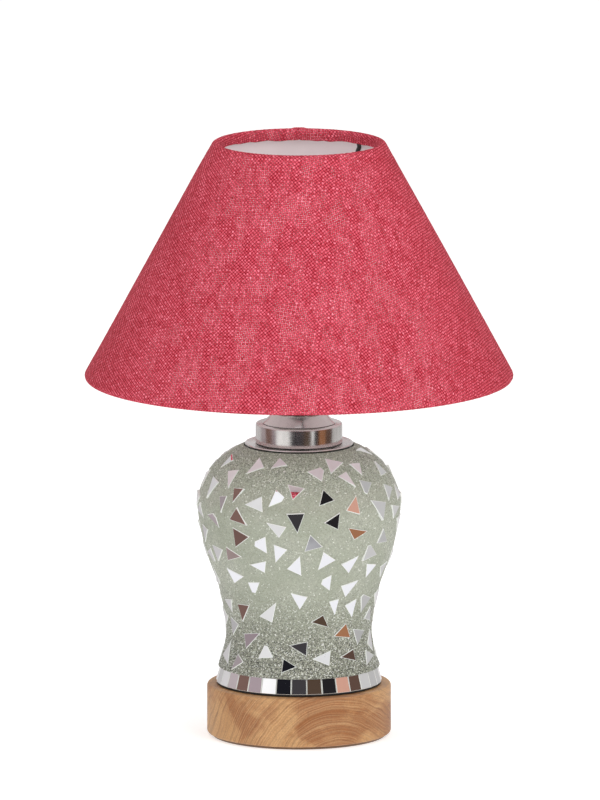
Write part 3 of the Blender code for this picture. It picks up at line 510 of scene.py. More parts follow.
# The record's material slots: the material function and its arguments
SLOT_LOOKS = {
    "felt": (*FELT, ("Sheen_Weight", 0.3)),
    "wood": (mango_wood,),
    "black_rubber": (moulded, (0.018, 0.018, 0.019), 0.65, 0.3),
    "zinc": (plated, (0.62, 0.62, 0.60), 0.35),
    "clear_glass": (*CLEAR_GLASS, ("Transmission_Weight", 0.6)),
    "mosaic": (crushed_glass,),
    "mirror": (mirror_glass,),
    "steel": (brushed_steel,),
    "black_phenolic": (moulded, (0.016, 0.016, 0.017), 0.32, 0.10),
    "porcelain": (moulded, (0.80, 0.79, 0.74), 0.22, 0.05),
    "brass": (plated, (0.80, 0.58, 0.24), 0.25),
    "brown_insulation": (moulded, (0.20, 0.09, 0.04), 0.45, 0.1),
    "blue_insulation": (moulded, (0.05, 0.15, 0.45), 0.45, 0.1),
    "opal_glass": (*OPAL, ("Coat_Weight", 0.4)),
    "nickel": (plated, (0.75, 0.74, 0.70), 0.22),
    "fibre": (moulded, (0.34, 0.24, 0.17), 0.8, 0.5),
    "black_wire": (moulded, (0.016, 0.015, 0.015), 0.35, 0.15),
    "white_lining": (lining,),
    "red_jute": (jute,),
    "black_cord": (moulded, (0.015, 0.015, 0.016), 0.45, 0.2),
}


def slot_material(slot):
    return material(*SLOT_LOOKS[slot])


# Meshes


def placed(data):
    """A new object in the scene, named as its mesh, curve, light or camera."""
    made = bpy.data.objects.new(data.name, data)
    bpy.context.scene.collection.objects.link(made)
    return made


def extra_piece(mesh, node, slot=None):
    """A piece that rides with a CAD node's body."""
    piece = placed(mesh)
    slot = slot or SLOT_OF[node]
    if not mesh.materials:
        mesh.materials.append(slot_material(slot))
    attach(piece, BODY_OF[node])
    return piece


def new_piece(mesh, node):
    """A piece that stands for a CAD node and rides on its body."""
    piece = extra_piece(mesh, node)
    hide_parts(node)
    return piece


def smooth(mesh, angle=35):
    mesh.shade_smooth()
    mesh.set_sharp_from_angle(angle=radians(angle))
    return mesh


def written(shape, mesh):
    """Writes a finished bmesh to a mesh, or to a new mesh of this name."""
    if isinstance(mesh, str):
        mesh = bpy.data.meshes.new(mesh)
    shape.to_mesh(mesh)
    shape.free()
    return mesh


def polar(radius, angle, height):
    return radius * cos(angle), radius * sin(angle), height


def middle(node):
    low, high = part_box(node)
    return (low + high) / 2


def cad_outline(node):
    """The (radius, height) outline of a turned CAD node, walked round its section at +X."""
    links = section_links(NODES[node].data)
    start = min(links, key=lambda p: (p[0] > 0, -p[1], p[0]))
    path = [start]
    while True:
        fresh = [p for p in links[path[-1]] if p not in path]
        if not fresh:
            break
        path.append(fresh[0])
    loop = len(path) > 2 and path[0] in links[path[-1]]
    if loop or path[0][0] == 0:
        return path
    # A solid disc, whose flat ends have no edge along the section
    return [(0.0, path[0][1])] + path + [(0.0, path[-1][1])]


def section_links(mesh):
    """Which (radius, height) points the mesh's edges join, in the half plane through +X."""
    links = {}
    for face in mesh.polygons:
        corners = [mesh.vertices[i].co for i in face.vertices]
        for a, b in zip(corners, corners[1:] + corners[:1]):
            flat = abs(a.y) < SAME and abs(b.y) < SAME
            if flat and a.x > -SAME and b.x > -SAME:
                one, other = [(round(max(p.x, 0.0), 6), round(p.z, 6)) for p in (a, b)]
                if one != other:
                    links.setdefault(one, set()).add(other)
                    links.setdefault(other, set()).add(one)
    return links


def rounded(outline, radius, closed=True, steps=3):
    """The outline with its sharp corners rounded."""
    points = []
    count = len(outline)
    for i, corner in enumerate(outline):
        here = Vector(corner)
        ends = not closed and i in (0, count - 1)
        before = Vector(outline[i - 1]) - here
        after = Vector(outline[(i + 1) % count]) - here
        if ends or before.angle(after, 0.0) > radians(160):
            points.append(corner)
            continue
        reach = min(radius, before.length * 0.4, after.length * 0.4)
        start = here + before.normalized() * reach
        end = here + after.normalized() * reach
        for k in range(steps + 1):
            t = k / steps
            p = start * (1 - t) ** 2 + here * 2 * t * (1 - t) + end * t * t
            points.append((max(p.x, 0.0), p.y))
    return points


def lathe_mesh(name, outline, closed=True, rounds=128):
    """A smooth turned mesh from an outline of (radius, height)."""
    shape = bmesh.new()
    rings = []
    for i in range(rounds):
        rings.append([shape.verts.new(polar(r, TAU * i / rounds, z)) for r, z in outline])
    spans = list(zip(range(len(outline)), range(1, len(outline))))
    if closed:
        spans.append((len(outline) - 1, 0))
    for here, there in zip(rings, rings[1:] + rings[:1]):
        for a, b in spans:
            shape.faces.new((here[a], here[b], there[b], there[a]))
    bmesh.ops.remove_doubles(shape, verts=shape.verts, dist=1e-7)
    bmesh.ops.dissolve_degenerate(shape, edges=shape.edges, dist=1e-7)
    bmesh.ops.recalc_face_normals(shape, faces=shape.faces)
    return smooth(written(shape, name))


def turned_again(node, name, edge, rounds=128):
    """A finer turning of a CAD node, with rounded edges."""
    outline = cad_outline(node)
    closed = min(r for r, _ in outline) > 0
    return new_piece(lathe_mesh(name, rounded(outline, edge, closed), closed, rounds), node)


def laid_back(mesh, x, z):
    """Turns a lathed mesh so that its axis runs along Y, at this x and z."""
    mesh.transform(Matrix.Translation((x, 0, z)) @ Matrix.Rotation(radians(-90), 4, "X"))
    return mesh


def tube_mesh(name, path, radius, closed=False):
    """A round tube along a smooth path of points, with flat ends."""
    curve = bpy.data.curves.new(name, "CURVE")
    curve.dimensions = "3D"
    curve.bevel_depth = radius
    curve.bevel_resolution = 4
    curve.use_fill_caps = not closed
    spline = curve.splines.new("POLY")
    spline.points.add(len(path) - 1)
    for point, place in zip(spline.points, path):
        point.co = (*place, 1.0)
    spline.use_cyclic_u = closed
    holder = placed(curve)
    mesh = evaluated_mesh(holder)
    bpy.data.objects.remove(holder)
    shape = bmesh.new()
    shape.from_mesh(mesh)
    bmesh.ops.remove_doubles(shape, verts=shape.verts, dist=SAME)
    mesh.name = name
    return smooth(written(shape, mesh), 50)


def evaluated_mesh(thing):
    """A new mesh of an object as it is seen, with its modifiers applied."""
    bpy.context.view_layer.update()
    graph = bpy.context.evaluated_depsgraph_get()
    return bpy.data.meshes.new_from_object(thing.evaluated_get(graph))


def catmull(points, steps):
    """A smooth curve through points, as a list with steps per span."""
    ends = [np.array(p, float) for p in [points[0], *points, points[-1]]]
    out = []
    for a, b, c, d in zip(ends, ends[1:], ends[2:], ends[3:]):
        slope = c - a
        bend = 2 * a - 5 * b + 4 * c - d
        twist = 3 * b - a - 3 * c + d
        for k in range(steps):
            t = k / steps
            out.append(0.5 * (2 * b + slope * t + bend * t**2 + twist * t**3))
    out.append(ends[-1])
    return out


# The vase


class Section:
    """The mosaic's outer outline, from foot to shoulder, by distance along it."""

    def __init__(self):
        loop = cad_outline("mosaic_skin")
        top = max(range(len(loop)), key=lambda i: loop[i][1])
        loop = loop[top:] + loop[:top]
        foot_z = min(z for _, z in loop) + LEVEL
        foot_r = max(r for r, z in loop if z < foot_z)
        foot = min(range(len(loop)), key=lambda i: (loop[i][1] > foot_z, foot_r - loop[i][0]))
        one, other = loop[: foot + 1][::-1], loop[foot:] + loop[:1]
        outer = max((one, other), key=lambda chain: np.mean([r for r, _ in chain]))
        self.points = np.array(catmull(outer, 12))
        steps = np.linalg.norm(np.diff(self.points, axis=0), axis=1)
        self.along = np.concatenate([[0.0], np.cumsum(steps)])
        self.length = self.along[-1]

    def at(self, s):
        r = np.interp(s, self.along, self.points[:, 0])
        z = np.interp(s, self.along, self.points[:, 1])
        return r, z

    def normal(self, s):
        """The outward normal (radial, upward) at a distance, or at the nearest one off the ends."""
        s = np.clip(s, NORMAL_STEP, self.length - NORMAL_STEP)
        r0, z0 = self.at(s - NORMAL_STEP)
        r1, z1 = self.at(s + NORMAL_STEP)
        length = np.hypot(r1 - r0, z1 - z0)
        return (z1 - z0) / length, -(r1 - r0) / length

    def turned(self, stations, lift, angles):
        """Points at these distances and angles, so far off the outline."""
        r, z = self.at(stations)
        out, up = self.normal(stations)
        radii = r[:, None] + out[:, None] * lift
        heights = z[:, None] + up[:, None] * lift
        return np.stack([radii * np.cos(angles), radii * np.sin(angles), heights], -1)


def ground_mesh(section, rng, chips):
    """The grit between the chips: a fine grid whose grains stand up at random, closed by a plain back."""
    rounds = int(TAU * BELLY_R / GROUND_STEP)
    rows = int(section.length / GROUND_STEP)
    angles = np.arange(rounds) * TAU / rounds
    lift = grain_lift(rows, rounds, rng)
    outer = section.turned(np.linspace(0.0, section.length, rows), lift, angles)
    for corners, place in chips:
        bed_chip(outer, corners, place)
    back = np.full((GROUND_BACK_ROWS, rounds), -GROUND_T)
    inner = section.turned(np.linspace(section.length, 0.0, GROUND_BACK_ROWS), back, angles)
    return grid_mesh("crushed_glass_ground", np.vstack([outer, inner]))


def grain_lift(rows, rounds, rng):
    """How far the grit stands up: fine grains, and coarse ones three steps wide."""
    grain = rng.normal(0.0, 1.0, (rows, rounds))
    coarse = rng.normal(0.0, 1.0, (rows // 3 + 2, rounds // 3 + 1))
    wide = np.kron(coarse, np.ones((3, 3)))[:rows, :rounds]
    lift = GRAIN_HEIGHT * (0.6 * np.clip(grain, -1.5, 1.8) + 0.35 * np.clip(wide, -1.5, 1.5))
    lift[0] = lift[-1] = 0.0
    return lift


def bed_chip(points, corners, place):
    """Presses the grit under a chip down, so that no grain comes through it."""
    near = np.argwhere(np.linalg.norm(points - np.array(place.translation), axis=2) < CHIP_REACH)
    to_chip = np.array(place.inverted())
    rows, columns = near[:, 0], near[:, 1]
    local = points[rows, columns] @ to_chip[:3, :3].T + to_chip[:3, 3]
    inside = np.ones(len(local), bool)
    for a, b in zip(corners, corners[1:] + corners[:1]):
        edge = (b - a).normalized()
        inside &= edge.x * (local[:, 1] - a.y) - edge.y * (local[:, 0] - a.x) > -CHIP_BED_MARGIN
    pressed = np.minimum(local[:, 2], CHIP_PROUD - CHIP_EDGE * 2)
    local[:, 2] = np.where(inside, pressed, local[:, 2])
    from_chip = np.array(place)
    points[rows, columns] = local @ from_chip[:3, :3].T + from_chip[:3, 3]


def grid_mesh(name, points):
    """A closed turned grid: rows go round the section, columns round the axis."""
    rows, rounds = points.shape[:2]
    i, j = np.meshgrid(np.arange(rows), np.arange(rounds), indexing="ij")
    down, right = (i + 1) % rows, (j + 1) % rounds
    corners = [i * rounds + j, i * rounds + right, down * rounds + right, down * rounds + j]
    faces = np.stack(corners, -1).reshape(-1, 4)
    mesh = bpy.data.meshes.new(name)
    mesh.from_pydata(points.reshape(-1, 3).tolist(), [], faces.tolist())
    mesh.update()
    return smooth(mesh, 60)


def chip_outline(rng):
    """A broken triangle of mirror, now and then with a corner snapped off."""
    reach = rng.uniform(*CHIP_SIZE)
    start = rng.uniform(0.0, TAU)
    angles = start + np.array([0.0, TAU / 3, 2 * TAU / 3]) + rng.uniform(-0.48, 0.48, 3)
    lengths = reach * rng.uniform(0.80, 1.20, 3)
    corners = [Vector((l * cos(a), l * sin(a))) for l, a in zip(lengths, angles)]
    if rng.uniform() < CHIP_SNAPPED:
        tip, after, before = corners
        share = rng.uniform(0.18, 0.34)
        corners = [tip.lerp(before, share), tip.lerp(after, share * 0.8), after, before]
    return corners


def scatter_chips(section, rng):
    """Chips as (outline, place): thrown one by one, and kept where they clear the chips already down."""
    kept = []
    rims = []
    for _ in range(CHIP_THROWS):
        s = rng.uniform(CHIP_MARGIN, section.length - CHIP_MARGIN)
        angle = rng.uniform(0.0, TAU)
        corners = chip_outline(rng)
        r, z = section.at(s)
        place = surface_frame(r, z, section.normal(s), angle)
        lean = rng.normal(0.0, CHIP_TILT, 2)
        if rng.uniform() > r / CHIP_THROW_R:
            continue
        rim = chip_rim(corners, place)
        if any(too_close(rim, other) for other in rims):
            continue
        rims.append(rim)
        tilt = Matrix.Rotation(lean[0], 4, "X") @ Matrix.Rotation(lean[1], 4, "Y")
        kept.append((corners, place @ tilt))
    return kept


def chip_rim(corners, place):
    """Points along a chip's outline, and then its centre."""
    sides = zip(corners, corners[1:] + corners[:1])
    beside = [p.lerp(q, k / 4) for p, q in sides for k in range(4)]
    return np.array([place @ Vector((p.x, p.y, 0.0)) for p in beside + [Vector((0.0, 0.0))]])


def too_close(rim, other):
    if np.linalg.norm(other[-1] - rim[-1]) >= CHIP_NEAR:
        return False
    return np.linalg.norm(rim[:, None] - other[None], axis=2).min() < CHIP_GAP


def inset(corners, distance):
    """A convex outline moved inwards all round."""
    moved = []
    count = len(corners)
    for i, here in enumerate(corners):
        into = (here - corners[i - 1]).normalized()
        out = (corners[(i + 1) % count] - here).normalized()
        normal_in = Vector((-into.y, into.x))
        normal_out = Vector((-out.y, out.x))
        mitre = (normal_in + normal_out).normalized()
        moved.append(here + mitre * distance / max(mitre.dot(normal_in), 0.35))
    return moved


def add_slab(shape, corners, place, heights, edge):
    """A flat slab with bevelled top edges: material 0 on its face, 1 on its edges."""
    low, high = heights
    layers = [(corners, low), (corners, high - edge * 0.6), (inset(corners, edge), high)]
    rings = [[shape.verts.new(place @ Vector((p.x, p.y, h))) for p in outline] for outline, h in layers]
    for lower, upper in zip(rings, rings[1:]):
        for i in range(len(corners)):
            k = (i + 1) % len(corners)
            shape.faces.new((lower[i], lower[k], upper[k], upper[i])).material_index = 1
    shape.faces.new(rings[-1]).material_index = 0
    shape.faces.new(rings[0][::-1]).material_index = 1


def surface_frame(r, z, normal, angle):
    """A matrix whose x runs round the lamp, y up the surface and z out of it."""
    out = Vector(polar(normal[0], angle, normal[1]))
    around = Vector((-sin(angle), cos(angle), 0.0))
    up = out.cross(around)
    turn = Matrix((around, up, out)).transposed().to_4x4()
    return Matrix.Translation(polar(r, angle, z)) @ turn


def mirror_mesh(name, shape):
    """Mirrors with ground edges, as add_slab leaves them."""
    mesh = written(shape, name)
    mesh.materials.append(material(mirror_glass))
    mesh.materials.append(material(*CUT_GLASS_EDGE))
    return mesh


def mosaic():
    rng = np.random.default_rng(11)
    section = Section()
    chips = scatter_chips(section, rng)
    new_piece(ground_mesh(section, rng, chips), "mosaic_skin")
    shape = bmesh.new()
    for corners, place in chips:
        add_slab(shape, corners, place, (-CHIP_DEPTH, CHIP_PROUD), CHIP_EDGE)
    extra_piece(mirror_mesh("mirror_chips", shape), "mosaic_skin", "mirror")


def mirror_band():
    """Square mirrors round the foot on a bed of pale grout."""
    outline = cad_outline("mirror_tile_band")
    top_z = max(z for _, z in outline)
    low_z = min(z for _, z in outline)
    top_r = max(r for r, z in outline if z > top_z - LEVEL)
    low_r = max(r for r, z in outline if z < low_z + LEVEL)
    bed = [(top_r - BAND_T, top_z), (top_r - GROUT_BACK, top_z)]
    bed += [(low_r - GROUT_BACK, low_z), (low_r - BAND_T, low_z)]
    mesh = lathe_mesh("mirror_band_grout", bed, True, TILE_COUNT * 4)
    mesh.materials.append(material(*PALE_GROUT))
    extra_piece(mesh, "mirror_tile_band", "mosaic")
    tiles = band_tiles((low_r, low_z), (top_r, top_z))
    new_piece(mirror_mesh("mirror_band_tiles", tiles), "mirror_tile_band")


def band_tiles(low, top):
    """The band's mirrors between its low and top (radius, height), each a little crooked."""
    rng = np.random.default_rng(5)
    shape = bmesh.new()
    half_turn = pi / TILE_COUNT
    low_w = low[0] * tan(half_turn) - TILE_GAP / 2
    top_w = top[0] * tan(half_turn) - TILE_GAP / 2
    half_h = dist(low, top) / 2 - TILE_SHORT
    lean = atan2(low[0] - top[0], top[1] - low[1])
    normal = (cos(lean), sin(lean))
    r = (top[0] + low[0]) / 2 * cos(half_turn)
    z = (top[1] + low[1]) / 2
    for i in range(TILE_COUNT):
        place = surface_frame(r, z, normal, -pi / 2 + TAU * i / TILE_COUNT)
        tilt = Matrix.Rotation(rng.normal(0.0, TILE_TILT), 4, "Y")
        tilt = tilt @ Matrix.Rotation(rng.normal(0.0, TILE_TILT), 4, "X")
        trim = rng.uniform(0.0, TILE_TRIM, 4)
        corners = [(-low_w + trim[0], -half_h), (low_w - trim[1], -half_h)]
        corners += [(top_w - trim[2], half_h), (-top_w + trim[3], half_h)]
        corners = [Vector(corner) for corner in corners]
        add_slab(shape, corners, place @ tilt, (-TILE_DEPTH, 0.0), TILE_EDGE)
    return shape


# The shade


class Cone:
    """The shade's outer surface, unrolled: distances up its slant and inwards from it."""

    def __init__(self):
        outline = cad_outline("shade_fabric")
        sides = zip(outline, outline[1:] + outline[:1])
        wall = max(sides, key=lambda side: dist(*side) + 0.01 * (side[0][0] + side[1][0]))
        (r0, z0), (r1, z1) = sorted(wall, key=lambda p: p[1])
        self.slope = atan2(r0 - r1, z1 - z0)
        self.bottom = (r0 + RIM_FOLD * sin(self.slope), z0 - RIM_FOLD * cos(self.slope))
        self.slant = hypot(r0 - r1, z1 - z0) + 2 * RIM_FOLD
        self.low_rho = self.bottom[0] / sin(self.slope)

    def point(self, along, inwards):
        """(radius, height) so far up the slant and so far in."""
        s, c = sin(self.slope), cos(self.slope)
        return self.bottom[0] - along * s - inwards * c, self.bottom[1] + along * c - inwards * s

    def wrapped(self, along):
        """(radius, height) of the cloth so far along, as it goes round the rim wires and back up inside."""
        top = self.slant - RIM_FOLD
        past = max(along - top, RIM_FOLD - along)
        if past <= 0:
            return self.point(along, 0.0)
        turn = min(past / RIM_FOLD, pi)
        reach = RIM_FOLD * sin(turn) - (past - RIM_FOLD * turn)
        inwards = RIM_FOLD - RIM_FOLD * cos(turn)
        return self.point(top + reach if along > top else RIM_FOLD - reach, inwards)


def shade_cloth():
    """The jute, cut flat as a sector and rolled up: its threads stay straight in the flat cut."""
    rng = np.random.default_rng(23)
    cone = Cone()
    rho, phi, parity, faces = flat_cut(cone, rng)
    mesh = bpy.data.meshes.new("jute_shade")
    mesh.from_pydata(rolled_up(cone, rho, phi, parity, rng).tolist(), [], faces.tolist())
    uv = mesh.uv_layers.new(name="weave")
    corners = np.empty(len(mesh.loops), int)
    mesh.loops.foreach_get("vertex_index", corners)
    turned = phi - WEAVE_TURN
    flat = np.stack([rho * np.sin(turned), -rho * np.cos(turned)], -1) / THREAD_PITCH
    uv.data.foreach_set("uv", (flat[corners] + UV_SHIFT).astype(np.float32).ravel())
    close_seam(mesh)
    thicken(new_piece(mesh, "shade_fabric"))


def flat_cut(cone, rng):
    """The threads' crossings in the flat sector: distance, angle, parity, and the cells between them."""
    half_angle = pi * sin(cone.slope)
    extra = RIM_FOLD * (pi - 1) + HEM
    rho_high = cone.low_rho + extra
    rho_low = cone.low_rho - cone.slant - extra
    reach = int(rho_high / THREAD_PITCH) + 2
    steps = (np.arange(-reach, reach + 1) + 0.5) * THREAD_PITCH
    x, y = np.meshgrid(steps, steps, indexing="ij")
    rho = np.hypot(x, y)
    phi = (np.arctan2(x, -y) + WEAVE_TURN + pi) % TAU - pi
    frayed = rng.normal(0.0, 1.0, HEM_FRAYS)
    low_edge = rho_low - HEM_RAGGED * np.interp(phi, np.linspace(-pi, pi, HEM_FRAYS), frayed)
    inside = (rho < rho_high) & (rho > low_edge) & (np.abs(phi) < half_angle)
    i, j = np.nonzero(inside[:-1, :-1] | inside[1:, :-1] | inside[:-1, 1:] | inside[1:, 1:])
    corners = [(i, j), (i + 1, j), (i + 1, j + 1), (i, j + 1)]
    used = np.zeros(rho.shape, bool)
    for corner in corners:
        used[corner] = True
    index = np.cumsum(used).reshape(used.shape) - 1
    faces = np.stack([index[corner] for corner in corners], -1)
    parity = (np.indices(used.shape).sum(0) % 2)[used]
    rho = np.clip(rho[used], low_edge[used], rho_high)
    return rho, np.clip(phi[used], -half_angle, half_angle), parity, faces


def rolled_up(cone, rho, phi, parity, rng):
    """Where the crossings lie once the sector is rolled up: one thread over the other, with a slow sag."""
    along = cone.low_rho - rho
    section = np.array([cone.wrapped(a) for a in along])
    theta = phi / sin(cone.slope)
    sag = FABRIC_SAG * wave(theta, along, rng)
    from_rim = np.minimum(along - RIM_TAUT, cone.slant - RIM_TAUT - along)
    on_wall = np.clip(from_rim / 0.02, 0.0, 1.0)
    slub = rng.normal(0.0, 1.0, len(along)) * SLUB
    lift = (WEAVE_RELIEF * (parity - 0.5) + slub) * np.clip(on_wall * 4, 0.3, 1.0) + sag * on_wall
    radius = section[:, 0] + lift * cos(cone.slope)
    height = section[:, 1] + lift * sin(cone.slope)
    angle = theta - pi / 2
    return np.stack([radius * np.cos(angle), radius * np.sin(angle), height], -1)


def wave(theta, along, rng):
    """Slow unevenness of the glued cloth, between -1 and 1."""
    total = np.zeros(len(theta))
    for count in (2, 3, 5, 8, 13):
        phase = rng.uniform(0.0, TAU, 2)
        drift = rng.uniform(8.0, 30.0)
        total += np.sin(count * theta + phase[0] + drift * along) / count**0.6
    return total / 2.2


def close_seam(mesh):
    """Clears the flattened cells along the cut edges at the back, and turns the faces outwards."""
    shape = bmesh.new()
    shape.from_mesh(mesh)
    bmesh.ops.dissolve_degenerate(shape, edges=shape.edges, dist=1e-7)
    bmesh.ops.recalc_face_normals(shape, faces=shape.faces)
    widest = max(shape.faces, key=lambda face: face.calc_center_median().xy.length)
    if widest.normal.xy.dot(widest.calc_center_median().xy) < 0:
        bmesh.ops.reverse_faces(shape, faces=shape.faces)
    written(shape, mesh).shade_smooth()


def thicken(piece):
    """Gives cloth its thickness, inwards."""
    cloth = piece.modifiers.new("cloth", "SOLIDIFY")
    cloth.thickness = FABRIC_T
    cloth.offset = -1.0


def seam_strip():
    """The overlap glued down the back of the shade."""
    cone = Cone()
    rng = np.random.default_rng(31)
    shape = bmesh.new()
    uv = shape.loops.layers.uv.new("weave")
    rows = []
    for k in range(SEAM_STEPS + 1):
        along = RIM_FOLD * 0.2 + (cone.slant - RIM_FOLD * 0.4) * k / SEAM_STEPS
        row = []
        for across in np.linspace(-1.0, 1.0, 7):
            vert = shape.verts.new(seam_place(cone, along, across, rng))
            row.append((vert, (across * SEAM_HALF_WIDTH, along)))
        rows.append(row)
    for lower, upper in zip(rows, rows[1:]):
        for a in range(6):
            corners = [lower[a], lower[a + 1], upper[a + 1], upper[a]]
            face = shape.faces.new([vert for vert, _ in corners])
            for loop, (_, place) in zip(face.loops, corners):
                loop[uv].uv = [part / THREAD_PITCH + UV_SHIFT for part in place]
    bmesh.ops.recalc_face_normals(shape, faces=shape.faces)
    mesh = written(shape, "jute_seam")
    mesh.shade_smooth()
    thicken(extra_piece(mesh, "shade_fabric"))


def seam_place(cone, along, across, rng):
    """A point of the strip: across it from -1 to 1, thick in the middle, with wavering sides."""
    wander = 0.0003 * sin(310 * along + across)
    lift = 0.0008 * (1 - across**6) + 0.00025 + rng.normal(0.0, SLUB)
    r, z = cone.wrapped(along)
    r += lift * cos(cone.slope)
    z += lift * sin(cone.slope)
    return polar(r, pi / 2 + (across * SEAM_HALF_WIDTH + wander) / r, z)


def shade_inside():
    """Lining, rim wires and the fitter with its three arms."""
    turned_again("shade_lining", "shade_lining_sheet", 0.0001, 160)
    low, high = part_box("shade_bottom_ring")
    wire_r = (high.z - low.z) / 2
    ring_z = (high.z + low.z) / 2
    new_piece(hoop_mesh("bottom_rim_wire", high.x - wire_r, ring_z, wire_r, 160), "shade_bottom_ring")
    low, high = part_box("shade_frame")
    top_r, top_z = high.x - wire_r, high.z - wire_r
    extra_piece(hoop_mesh("top_rim_wire", top_r, top_z, wire_r, 96), "shade_frame")
    fitter_z = low.z + 0.0001
    outline = [(FITTER_BORE_R, fitter_z + FITTER_T), (FITTER_R, fitter_z + FITTER_T)]
    outline += [(FITTER_R, fitter_z), (FITTER_BORE_R, fitter_z)]
    new_piece(lathe_mesh("shade_fitter_ring", rounded(outline, 0.0004)), "shade_frame")
    shade_arms(top_r, top_z, fitter_z + WIRE_ARM_R)


def hoop_mesh(name, radius, height, wire_r, count):
    path = [polar(radius, TAU * k / count, height) for k in range(count)]
    return tube_mesh(name, path, wire_r, True)


def shade_arms(top_r, top_z, low_z):
    """Three bent wires from the top rim down to the fitter."""
    arm = [
        (top_r, top_z),
        (top_r + 0.0014, top_z - 0.0035),
        (top_r + 0.0026, top_z - 0.0080),
        (top_r - 0.0002, top_z - 0.0150),
        (top_r - 0.0070, top_z - 0.0500),
        (top_r - 0.0150, low_z + 0.0140),
        (top_r - 0.0182, low_z + 0.0035),
        (top_r - 0.0225, low_z),
        (FITTER_R - WIRE_ARM_R, low_z),
    ]
    for k in range(3):
        angle = radians(ARM_START + 120 * k)
        path = catmull([polar(r, angle, z) for r, z in arm], 5)
        extra_piece(tube_mesh(f"shade_arm_{k + 1}", path, WIRE_ARM_R), "shade_frame")


# Base


def wooden_base():
    """The base turned again with soft edges, and its cord hole drilled."""
    piece = turned_again("wood_base", "wooden_base", 0.0007, 192)
    low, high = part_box("cord_grommet")
    hole_r = (high.z - low.z) / 2 - 0.0014
    outline = [(0.0, 0.09), (hole_r, 0.09), (hole_r, 0.02), (0.0, 0.02)]
    drill = placed(laid_back(lathe_mesh("drill", outline, False, 48), 0.0, middle("cord_grommet").z))
    cut = piece.modifiers.new("cut", "BOOLEAN")
    cut.operation = "DIFFERENCE"
    cut.object = drill
    drilled = evaluated_mesh(piece)
    piece.modifiers.remove(cut)
    piece.data = smooth(drilled)
    bpy.data.objects.remove(drill)


def grommet():
    low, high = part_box("cord_grommet")
    flange_r = (high.z - low.z) / 2
    sleeve_r = flange_r - 0.0017
    bore_r = 0.0032
    flange_y = high.y - 0.0018
    outline = [(bore_r, high.y), (flange_r, high.y), (flange_r, flange_y), (sleeve_r, flange_y)]
    outline += [(sleeve_r, low.y), (bore_r, low.y)]
    mesh = lathe_mesh("cord_bushing", rounded(outline, 0.0006, True, 4), True, 64)
    new_piece(laid_back(mesh, 0.0, middle("cord_grommet").z), "cord_grommet")


# Cord, switch and plug


def arc(centre, radius, start, end, steps):
    angles = [radians(start + (end - start) * k / steps) for k in range(steps + 1)]
    return [(centre[0] + radius * cos(a), centre[1] + radius * sin(a)) for a in angles]


def at_heights(points, first, last):
    """Flat points lifted to heights that ease from the first to the last."""
    count = len(points) - 1
    shares = [0.5 - 0.5 * cos(pi * k / count) for k in range(count + 1)]
    return [(*p, first + (last - first) * share) for p, share in zip(points, shares)]


def cords():
    """The flex, from the lampholder to the switch, and from there round its hank to the plug."""
    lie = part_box("cord_plug_side")[0].z + CORD_R
    switch_y = middle("switch_base").y
    switch_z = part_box("switch_base")[1].z
    path = lamp_side(switch_y, switch_z, lie)
    new_piece(tube_mesh("flex_lamp_side", path, CORD_R), "cord_lamp_side")
    path = plug_side(switch_y, switch_z, lie)
    new_piece(tube_mesh("flex_plug_side", path, CORD_R), "cord_plug_side")


def lamp_side(switch_y, switch_z, lie):
    """Down the pipe, out at the back of the base, down to the table and round into the switch."""
    exit_z = middle("cord_grommet").z
    run_y = switch_y - 2 * CORD_BEND
    turn_r = run_y - EXIT_Y
    path = [(0.0, 0.0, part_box("cord_lamp_side")[1].z), (0.0, 0.0, 0.10)]
    path += [(0.0, y, z) for y, z in arc((CORD_BEND, exit_z + CORD_BEND), CORD_BEND, 180, 270, 10)]
    path += [(0.0, 0.045, exit_z)]
    path += at_heights(arc((-turn_r, EXIT_Y), turn_r, 0, 90, 10), exit_z, lie + 0.0008)
    path += [(-SWITCH_TURN_X + 0.010, run_y, lie)]
    bend = arc((-SWITCH_TURN_X, run_y + CORD_BEND), CORD_BEND, -90, -270, 18)
    return path + at_heights(bend, lie, switch_z) + [(-SWITCH_END_X, switch_y, switch_z)]


def plug_side(switch_y, switch_z, lie):
    """Out of the switch, round the hank, each turn inside the last, and into the plug."""
    hank_b = HANK_Y - switch_y - 2 * CORD_BEND
    path = [(SWITCH_END_X, switch_y, switch_z)]
    bend = arc((SWITCH_TURN_X, switch_y + CORD_BEND), CORD_BEND, -90, 90, 18)
    path += at_heights(bend, switch_z, lie)
    path += [(0.012, HANK_Y - hank_b, lie), (0.0, HANK_Y - hank_b, lie)]
    for k in range(1, int(HANK_TURNS * HANK_STEPS) + 1):
        share = k / HANK_STEPS
        shrink = HANK_PITCH * share
        x = -(HANK_A - shrink) * sin(TAU * share)
        y = HANK_Y - (hank_b - shrink) * cos(TAU * share)
        path.append((x, y, lie + 0.00025 * sin(3.1 * share * TAU)))
    plug = middle("plug_body")
    path += at_heights(arc((0.0, y - plug.x), plug.x, 80, 0, 12), lie, plug.z)
    return path + [(plug.x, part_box("plug_body")[1].y - 0.006, plug.z)]


def refined(node, name, bevel):
    """A CAD node's own solid with welded corners and rounded edges, as a new piece."""
    mesh = NODES[node].data.copy()
    mesh.name = name
    shape = bmesh.new()
    shape.from_mesh(mesh)
    bmesh.ops.remove_doubles(shape, verts=shape.verts, dist=SAME)
    flat = radians(1)
    bmesh.ops.dissolve_limit(shape, angle_limit=flat, verts=shape.verts, edges=shape.edges)
    written(shape, mesh).materials.clear()
    piece = new_piece(mesh, node)
    step = piece.modifiers.new("soft edges", "BEVEL")
    step.width = bevel
    step.segments = 3
    step.limit_method = "ANGLE"
    step.angle_limit = radians(35)
    step.harden_normals = False
    smooth(mesh)


